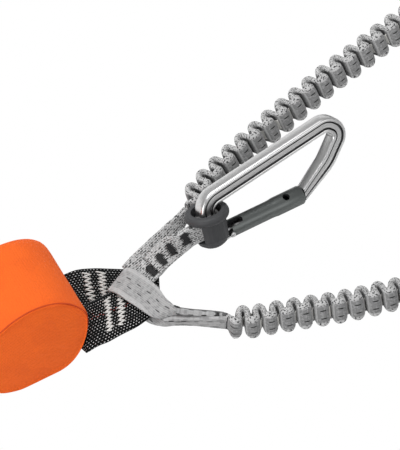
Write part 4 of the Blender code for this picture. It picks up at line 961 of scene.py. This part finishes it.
# Black tacks: (along, across, side) of each, on the sling's lower half and the grey branch
slingTacks = {
    "places": [(0.0166, -0.0015, 1), (0.1191, -0.0010, -1), (0.1107, 0.0, -1), (0.1010, 0.0015, -1)],
    "along": 0.0052, "across": 0.0074, "rows": 8, "radius": 0.00042, "lift": slingThickness / 2 + 0.00015,
}
branchTack = {
    "places": [(greyBand["lengths"][27], 0.0012, 1)],
    "along": 0.0046, "across": 0.0030, "rows": 4, "radius": 0.00045, "lift": 0.0024,
}


def layPatches(name, band, settings):
    lines = []
    turns = settings["rows"] * 2
    for along, across, way in settings["places"]:
        points = []
        for i in range(turns + 1):
            swing = settings["along"] / 2 * (1 if i % 2 else -1) * random.uniform(0.7, 1.15)
            points.append((along + swing, across + settings["across"] * (i / turns - 0.5)))
        lines.append(alongBand(band, points, 3, settings["lift"] * way))
    sewPiece(name, lines, settings["radius"], blackThread)


layPatches("slingTacks", slingBand, slingTacks)
layPatches("branchTack", greyBand, branchTack)
print("sling tacked")

# The bound end of the lower arm's upper branch
knobSettings = {"place": (0.1368, 0.0277, 0.0112), "half": (0.0034, 0.0022, 0.0024),
                "colour": (0.10, 0.10, 0.102)}
bm = bmesh.new()
bmesh.ops.create_uvsphere(bm, u_segments=20, v_segments=12, radius=1.0,
                          matrix=Matrix.Translation(knobSettings["place"])
                          @ Matrix.Diagonal((*knobSettings["half"], 1.0)))
bm.loops.layers.uv.new("weave")
finishPiece("rootKnob", bm, plainMaterial("boundEnd", knobSettings["colour"], 0.85), "pouch")


# Pouch: a soft shell with its front panel let in at a seam
pouchSettings = {
    "middle": 0.0300, "half": 0.0343, "front": -0.0222, "back": 0.0437, "height": 0.0432, "slope": 0.438,
    "crown": 0.0024, "crownEnd": 0.97, "soft": 0.00040, "softScale": 75.0, "softFrom": 0.002, "softBack": 0.004,
    "softOver": 0.01, "clothStart": 0.2,
}
clothSettings = {
    "ground": (0.86, 0.125, 0.005), "shade": (0.76, 0.100, 0.004), "weavePitch": 0.0011,
    "fineScale": 900.0, "fineAmount": 0.5, "fineShare": 0.35,
    "broadScale": 55.0, "broadAmount": 0.5, "broadShare": 0.25, "roughness": 0.9, "bump": (0.5, 0.00025),
}
# The seam thread's dark red colour is the stitched seam together with painted shade in the crease where the
# front panel meets the shell.
seamSettings = {"share": 0.002, "size": 0.984, "out": 0.0004, "radius": 0.00042, "colour": (0.55, 0.055, 0.003)}
panelShares = [
    (0.00, 0.000), (0.34, 0.004), (0.56, 0.055), (0.74, 0.155), (0.86, 0.275), (0.945, 0.395),
    (1.000, 0.545), (0.985, 0.635), (0.905, 0.735), (0.770, 0.845), (0.585, 0.932), (0.355, 0.985),
    (0.110, 1.000), (-0.185, 0.972), (-0.460, 0.905), (-0.700, 0.810), (-0.890, 0.690), (-0.985, 0.560),
    (-1.000, 0.400), (-0.940, 0.215), (-0.770, 0.085), (-0.500, 0.015), (-0.30, 0.000),
]
frontSizes = [0.05, 0.18, 0.32, 0.46, 0.60, 0.72, 0.82, 0.89, 0.935, 0.955]
backSizes = [0.6, 0.3, 0.05]
# Share from front to back, the outline's size and how far it is drawn in
shellRings = [
    (0.0, 0.966, 0.0006), (0.0, 0.976, 0.0002), (0.001, 0.981, -0.0007), (0.003, 0.985, -0.0009),
    (0.006, 0.988, -0.0005), (0.010, 0.994, 0.0), (0.022, 1.003, 0.0), (0.045, 1.006, 0.0), (0.10, 1.004, 0.0),
    (0.20, 1.002, 0.0), (0.35, 1.001, 0.0), (0.50, 1.001, 0.0), (0.65, 1.0, 0.0), (0.78, 0.999, 0.0),
    (0.86, 0.993, 0.0), (0.91, 0.978, 0.0), (0.95, 0.955, 0.0), (0.98, 0.920, 0.0), (0.995, 0.885, 0.0),
    (1.0, 0.850, 0.0),
]


def closedLine(places, steps):
    count = len(places)
    found = []
    for i in range(count):
        found += curveSteps(*(Vector(places[(i + k) % count]) for k in (-1, 0, 1, 2)), steps)
    return found


def shellRing(outline, share, size, draw, floorKept=True):
    settings = pouchSettings
    middle = settings["height"] / 2
    tall = middle * size
    ring = []
    for across, up in outline:
        up = limited(up)
        z = middle + (2 * up - 1) * tall
        if up < 0.5 and floorKept:
            z -= (middle - tall) * (1 - 2 * up)
        front = settings["front"] + settings["slope"] * z - draw
        ring.append(Vector((settings["middle"] + across * settings["half"] * size,
                            front + (settings["back"] - front) * share, max(z, 0.0))))
    return ring


def makePouchCloth():
    settings = clothSettings
    material, tree, shader = surfaceOf("orangeCloth", settings["roughness"])
    place, across, along = uvOf(tree)
    parts = []
    for size in ("fine", "broad"):
        parts.append(times(tree, specksOf(tree, place, settings, size), settings[size + "Share"]))
    paintInto(tree, shader, calc(tree, "ADD", *parts), settings["ground"], settings["shade"])
    weaveInto(tree, shader, across, along, settings["weavePitch"], settings["weavePitch"], settings["bump"])
    return material


def flatSpots(ring):
    return [(p.x, p.z) for p in ring + ring[:1]]


def layPouch():
    settings = pouchSettings
    outline = closedLine(panelShares, 5)
    rings = []
    places = []
    for size in frontSizes:
        draw = settings["crown"] * (1 - (size / settings["crownEnd"]) ** 2)
        rings.append(shellRing(outline, 0.0, size, draw, False))
        places.append(flatSpots(rings[-1]))
    blend = len(rings)
    for share, size, out in shellRings:
        rings.append(shellRing(outline, share, size, out))
    for ring in rings[blend:]:
        line = ring + ring[:1]
        places.append([(gone, p.y + settings["clothStart"]) for gone, p in zip(lengthsAlong(line), line)])
    places[blend] = flatSpots(rings[blend])
    for size in backSizes:
        rings.append(shellRing(outline, 1.0, size, 0.0, False))
        places.append(flatSpots(rings[-1]))
    bm = bmesh.new()
    skinRings(bm, rings, places)
    bm.normal_update()
    for vertex in bm.verts:
        height = limited((vertex.co.z - settings["softFrom"]) / settings["softOver"])
        ahead = limited((settings["back"] - settings["softBack"] - vertex.co.y) / settings["softOver"])
        push = noise.noise(vertex.co * settings["softScale"]) * settings["soft"] * height * ahead
        vertex.co += vertex.normal * push
    bmesh.ops.transform(bm, matrix=cornerTurn, verts=bm.verts)
    shell = finishPiece("pouchShell", bm, makePouchCloth(), "pouch", 75.0)
    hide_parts("pouch_body", "pouch_front_panel")
    seam = shellRing(outline, seamSettings["share"], seamSettings["size"], -seamSettings["out"])
    bm = bmesh.new()
    sewThread(bm, seam + seam[:1], seamSettings["radius"])
    for corner in bm.verts:
        corner.co.z = max(corner.co.z, 0.0)
    bmesh.ops.transform(bm, matrix=cornerTurn, verts=bm.verts)
    # Dark red thread: seam stitching and painted shade in the seam's crease.
    seamShadeThread = plainMaterial("seamShadeThread", seamSettings["colour"], 0.9)
    finishPiece("pouchSeamShade", bm, seamShadeThread, "pouch")


layPouch()
print("pouch sewn")


# The small carabiner's bar, with grooves and a broad rib along its faces
restBar = {
    "name": "restCarabinerBar", "replaced": "rest_carabiner_body", "hingeX": 0.0500, "hingeY": 0.0061,
    "heel": 0.0589, "spine": 0.0323, "bow": 0.0294, "bowLow": 0.0228, "bowOut": 0.0368, "noseRun": 0.0213,
    "noseRise": 0.0100, "noseLift": 0.0004,
    "radii": [0.026, 0.0068, 0.0080, 0.0086, 0.0058], "depth": 0.0094, "thickness": 0.0088, "noseDepth": 0.84,
    "noseThickness": 0.86, "noseTaper": 0.0260, "heelFrom": 0.50, "heelTaper": 1.10, "cornerSteps": 14,
}
barEnds = {
    "gap": 0.0005, "tongueDepth": 0.0062, "tongueThickness": 0.0044, "drop": 0.0016, "groove": 0.30,
    "tongueTip": [(0.35, 0.94), (0.62, 0.78), (0.82, 0.57), (0.95, 0.36)],
}
ribEdge = 0.55
barQuarter = [(1.0, 0.0), (0.992, 0.42), (0.955, 0.72), (0.88, 0.92), (0.78, 1.0), (0.58, 1.0), (0.51, 0.90),
              (0.475, 0.32), (0.39, 0.10), (0.315, 0.25), (0.28, 0.50), (0.12, 0.56)]


def roundedCorners(corners, radii, steps):
    line = [Vector(corners[0])]
    for i in range(1, len(corners) - 1):
        corner = Vector(corners[i])
        back = (Vector(corners[i - 1]) - corner).normalized()
        on = (Vector(corners[i + 1]) - corner).normalized()
        turn = math.pi - back.angle(on)
        run = radii[i - 1] * math.tan(turn / 2)
        middle = corner + (back + on).normalized() * (radii[i - 1] / math.cos(turn / 2))
        first = corner + back * run - middle
        last = corner + on * run - middle
        for k in range(steps + 1):
            t = k / steps
            spoke = first * math.sin((1 - t) * turn) + last * math.sin(t * turn)
            line.append(middle + spoke / math.sin(turn))
    line.append(Vector(corners[-1]))
    return line


def barRing(point, along, depth, thickness, groove):
    side = Vector((-along.y, along.x, 0.0))
    section = []
    for across, up in barQuarter:
        section.append((across, 1.0 - groove * (1.0 - up) if across < ribEdge else up))
    section += [(-across, up) for across, up in reversed(section)]
    section += [(across, -up) for across, up in reversed(section[1:-1])]
    points = [Vector((point.x, point.y, 0.0)) + side * (across * depth / 2)
              + Vector((0.0, 0.0, up * thickness / 2)) for across, up in section]
    return points, [across for across, up in section]


# The groove colour is painted shade: the bar's grooves are painted dark.
barMetalSettings = {
    "face": (0.66, 0.66, 0.66), "groove": (0.085, 0.085, 0.087), "roughness": 0.31, "from": (0.26, 0.33),
    "to": (0.50, 0.56),
}


def makeBarMetal():
    settings = barMetalSettings
    material, tree, shader = surfaceOf("polishedBar", settings["roughness"], 1.0)
    reach = calc(tree, "ABSOLUTE", uvOf(tree)[1])
    # Painted shade on the part of the section that lies in the grooves.
    paintedShade = times(tree, remap(tree, reach, *settings["from"]), remap(tree, reach, *settings["to"], 1.0, 0.0))
    paintInto(tree, shader, paintedShade, settings["face"], settings["groove"])
    return material


polishedBar = makeBarMetal()


def layBar(size, frameMatrix):
    corners = [(barEnds["gap"], size["noseLift"]), (size["noseRun"], size["noseRise"]),
               (size["bowOut"], size["bowLow"]), (size["bow"], size["spine"]), (-size["heel"], size["spine"]),
               (-size["heel"], size["hingeY"]), (-size["hingeX"], size["hingeY"])]
    line = roundedCorners(corners, size["radii"], size["cornerSteps"])
    way = tangentsOf(line)
    way[0] = Vector((size["hingeX"], -size["hingeY"] - barEnds["drop"])).normalized()
    lengths = lengthsAlong(line)
    total = lengths[-1]
    taper = size["heel"] - size["hingeX"]
    rings = []
    places = []
    for point, along, gone in zip(line, way, lengths):
        share = limited((total - gone - taper * size["heelFrom"]) / (taper * size["heelTaper"]))
        nose = min(1.0, gone / size["noseTaper"])
        depth = between(barEnds["tongueDepth"], size["depth"] * between(size["noseDepth"], 1.0, nose), share)
        thickness = between(barEnds["tongueThickness"],
                            size["thickness"] * between(size["noseThickness"], 1.0, nose), share)
        groove = barEnds["groove"] * min(share, gone / size["depth"])
        ring, acrosses = barRing(point, along, depth, thickness, groove)
        rings.append(ring)
        places.append([(across, gone) for across in acrosses])
    tongue = barEnds["tongueDepth"]
    for reach, width in barEnds["tongueTip"]:
        rings.append(barRing(line[-1] + Vector((tongue / 2 * reach, 0.0)), Vector((1.0, 0.0)), tongue * width,
                             barEnds["tongueThickness"], 0.0)[0])
        places.append([(1.0, total)] * len(rings[-1]))
    bm = bmesh.new()
    skinRings(bm, rings, places)
    bmesh.ops.transform(bm, matrix=frameMatrix, verts=bm.verts)
    bar = finishPiece(size["name"], bm, polishedBar, "pouch", 38.0)
    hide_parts(size["replaced"])


layBar(restBar, restFrame)
print("carabiner bar made")


def frameFrom(origin, x, y, z):
    turned = Matrix((x, y, z)).transposed().to_4x4()
    return Matrix.Translation(Vector(origin) - home) @ turned


lowerFrame = frameFrom((0.059035, -0.10074, 0.007771), (-0.994034, -0.088552, -0.063675),
                       (0.088732, -0.996055, 0.0), (-0.063424, -0.00565, 0.997971))
upperFrame = frameFrom((0.31735, 0.0326, 0.007771), (-0.013425, -0.99788, -0.063675),
                       (0.99991, -0.013453, 0.0), (-0.000857, -0.063669, 0.997971))


loopSettings = {"width": 0.0150, "inset": 0.0006, "leads": (0.0, 0.33, 0.66)}


def layEndLoop(name, frameMatrix, route, prefix):
    steep = frameMatrix.to_3x3() @ Vector((0.0, 1.0, 0.0))
    loop = [frameMatrix @ p for p in hairpin(endHeel)]
    entry = (loop[0] + loop[-1]) / 2
    armEnd = Vector(route[-1])
    armEnd += (entry - armEnd).normalized() * loopSettings["inset"]
    face = (entry - armEnd).normalized().cross(steep).normalized()
    lead = [armEnd.lerp(entry, share) for share in loopSettings["leads"]]
    over, under = (layerOf(lead, [face] * len(lead), way * layerOffset) for way in (1, -1))
    fine = smoothRoute(under + smoothRoute(startingNear(loop, under[-1]), 2) + over[::-1], 3)
    band = bandAlong(fine, [steep] * len(fine), [loopSettings["width"]] * len(fine))
    layBand(name, band, slingThickness, wovenSling, prefix + "_end_loop")


layEndLoop("lowerLoopWebbing", lowerFrame, lowerArmRoute, "lower")
layEndLoop("upperLoopWebbing", upperFrame, upperArmRoute, "upper")
print("end loops laid")

# The small gate: a smooth tube, its fork slot and a drilled hole
gateSettings = {
    "radius": 0.0056, "slimShare": 0.93, "reach": 0.04995, "tail": 0.0020, "drop": 0.0016, "slot": 0.0046,
    "slotReach": 0.0066, "slotTurn": 30.0, "latchWidth": 0.0036, "latchDepth": 0.0050, "hole": 0.0022,
    "holeBack": 0.0112, "turn": 34.0, "bore": 0.0032, "boreFrom": 0.004, "boreBack": 0.008, "sides": 56,
    "shadeWithin": 0.78, "shadeUntil": 0.98, "sharpAngle": 35.0, "rivet": 0.0016, "rivetFlat": 0.45,
}
cutReach = 0.02


def cutWith(piece, make, *details):
    bm = bmesh.new()
    make(bm, *details)
    cutter = linked("cutter", meshFrom("cutter", bm))
    modifier = piece.modifiers.new("cut", "BOOLEAN")
    modifier.operation = "DIFFERENCE"
    modifier.solver = "EXACT"
    modifier.object = cutter
    depsgraph = bpy.context.evaluated_depsgraph_get()
    fresh = bpy.data.meshes.new_from_object(piece.evaluated_get(depsgraph))
    piece.modifiers.remove(modifier)
    piece.data = fresh
    bpy.data.objects.remove(cutter)


def latheX(bm, outline, sides, rise):
    rings = []
    for reach, radius in outline:
        rings.append([Vector((reach, rise + up, side)) for up, side in circleSpots(sides, radius)])
    skinRings(bm, rings)


def boxBetween(bm, low, high):
    size = [b - a for a, b in zip(low, high)]
    middle = [(a + b) / 2 for a, b in zip(low, high)]
    bmesh.ops.create_cube(bm, size=1.0, matrix=Matrix.Translation(middle) @ Matrix.Diagonal((*size, 1.0)))


def turnAboutX(bm, turn, rise):
    bmesh.ops.rotate(bm, cent=(0.0, rise, 0.0), matrix=Matrix.Rotation(math.radians(turn), 3, "X"),
                     verts=bm.verts)


def roundSlot(bm, reach, width, turn, rise):
    sides = 20
    outline = [(-cutReach, -width / 2)]
    for k in range(sides + 1):
        angle = -math.pi / 2 + math.pi * k / sides
        outline.append((reach + width / 2 * math.cos(angle), width / 2 * math.sin(angle)))
    outline.append((-cutReach, width / 2))
    skinRings(bm, [[Vector((x, y, z)) for x, z in outline] for y in (-cutReach, cutReach)])
    turnAboutX(bm, turn, rise)


# Rounds the tube's tail about the rivet
def earCut(bm, ear):
    sides = 24
    middle = ear * 0.25
    corners = [(middle - ear * math.sin(math.pi * k / sides), ear * math.cos(math.pi * k / sides))
               for k in range(sides + 1)]
    corners += [(middle, -cutReach), (-cutReach, -cutReach), (-cutReach, cutReach), (middle, cutReach)]
    skinRings(bm, [[Vector((x, y, z)) for x, y in corners] for z in (-cutReach, cutReach)])


def drillHole(bm, place, radius, turn, rise):
    spots = circleSpots(32, radius)
    skinRings(bm, [[Vector((place + x, y, z)) for x, z in spots] for y in (rise, rise + cutReach)])
    turnAboutX(bm, turn, rise)


def layGate(settings, size, frameMatrix):
    radius = settings["radius"]
    tail = settings["tail"]
    reach = settings["reach"]
    drop = settings["drop"]
    slim = radius * settings["slimShare"]
    outline = [(-tail * 1.02, slim), (-tail * 0.5, slim), (tail, slim), (reach * 0.55, slim),
               (reach * 0.60, radius * 0.95), (reach * 0.64, radius), (reach - radius * 0.16, radius),
               (reach - radius * 0.05, radius * 0.95), (reach, radius * 0.84)]
    bm = bmesh.new()
    latheX(bm, outline, settings["sides"], drop)
    gate = finishPiece("restGateTube", bm, finishes["greyAnodised"], "rest_gate",
                       settings["sharpAngle"], False)
    cutWith(gate, earCut, tail)
    cutWith(gate, roundSlot, settings["slotReach"], settings["slot"], settings["slotTurn"], drop)
    cutWith(gate, boxBetween, (reach - settings["latchDepth"], -cutReach, -settings["latchWidth"] / 2),
            (reach + cutReach, drop, settings["latchWidth"] / 2))
    cutWith(gate, drillHole, reach - settings["holeBack"], settings["hole"], settings["turn"], drop)
    bore = settings["bore"]
    cutWith(gate, latheX, [(settings["boreFrom"], bore), (reach - settings["boreBack"], bore)], 24, drop)
    hinge = Vector((-size["hingeX"], size["hingeY"], 0.0))
    turn = math.atan2(-(hinge.y + drop), -hinge.x)
    placed = frameMatrix @ Matrix.Translation(hinge) @ Matrix.Rotation(turn, 4, "Z")
    # Painted shade: the faces inside the tube's bore and slot get the black finish.
    gate.data.materials.append(finishes["blackWebbing"])
    for face in gate.data.polygons:
        paintedShade = math.hypot(face.center.y - drop, face.center.z) < radius * settings["shadeWithin"]
        if paintedShade and -tail < face.center.x < reach * settings["shadeUntil"]:
            face.material_index = 1
    gate.data.transform(Matrix.Translation(home) @ placed)
    gate.data.shade_smooth()
    gate.data.set_sharp_from_angle(angle=math.radians(settings["sharpAngle"]))
    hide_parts("rest_carabiner_gate")


def layRivet(settings, size, frameMatrix):
    bm = bmesh.new()
    bmesh.ops.create_uvsphere(bm, u_segments=24, v_segments=12, radius=settings["rivet"])
    flat = Matrix.Diagonal((1.0, 1.0, settings["rivetFlat"], 1.0))
    top = Vector((-size["hingeX"], size["hingeY"], settings["radius"] * settings["slimShare"]))
    bmesh.ops.transform(bm, matrix=frameMatrix @ Matrix.Translation(top) @ flat, verts=bm.verts)
    finishPiece("restGateRivet", bm, finishes["brightSteel"], "pouch")


layGate(gateSettings, restBar, restFrame)
layRivet(gateSettings, restBar, restFrame)
print("gate made")

# A round bead on the keeper's collar
beadSettings = {
    "top": 0.0268, "height": 0.0052, "inner": 0.0088, "outer": 0.0129, "lean": 8.0, "about": 0.0193,
    "sides": 20, "steps": 64,
}


def layBead(name, frameMatrix, heel, settings):
    bm = bmesh.new()
    middle = (settings["inner"] + settings["outer"]) / 2
    half = (settings["outer"] - settings["inner"]) / 2
    ring = [bm.verts.new((middle + half * out, settings["top"] - settings["height"] / 2 * (1 - up), 0.0))
            for out, up in circleSpots(settings["sides"], 1.0)]
    edges = [bm.edges.new((a, b)) for a, b in zip(ring, ring[1:] + ring[:1])]
    bmesh.ops.spin(bm, geom=ring + edges, cent=(0.0, 0.0, 0.0), axis=(0.0, 1.0, 0.0), angle=math.tau,
                   steps=settings["steps"], use_merge=True)
    bmesh.ops.remove_doubles(bm, verts=bm.verts, dist=0.00001)
    bmesh.ops.recalc_face_normals(bm, faces=bm.faces)
    lean = Matrix.Rotation(math.radians(-settings["lean"]), 3, "Z")
    bmesh.ops.rotate(bm, cent=(0.0, settings["about"], 0.0), matrix=lean, verts=bm.verts)
    bmesh.ops.translate(bm, vec=(-heel, 0.0, 0.0), verts=bm.verts)
    bmesh.ops.transform(bm, matrix=frameMatrix, verts=bm.verts)
    finishPiece(name, bm, finishes["greyRubber"], "pouch", 60.0)


layBead("restKeeperBead", restFrame, restHeel["heel"], beadSettings)
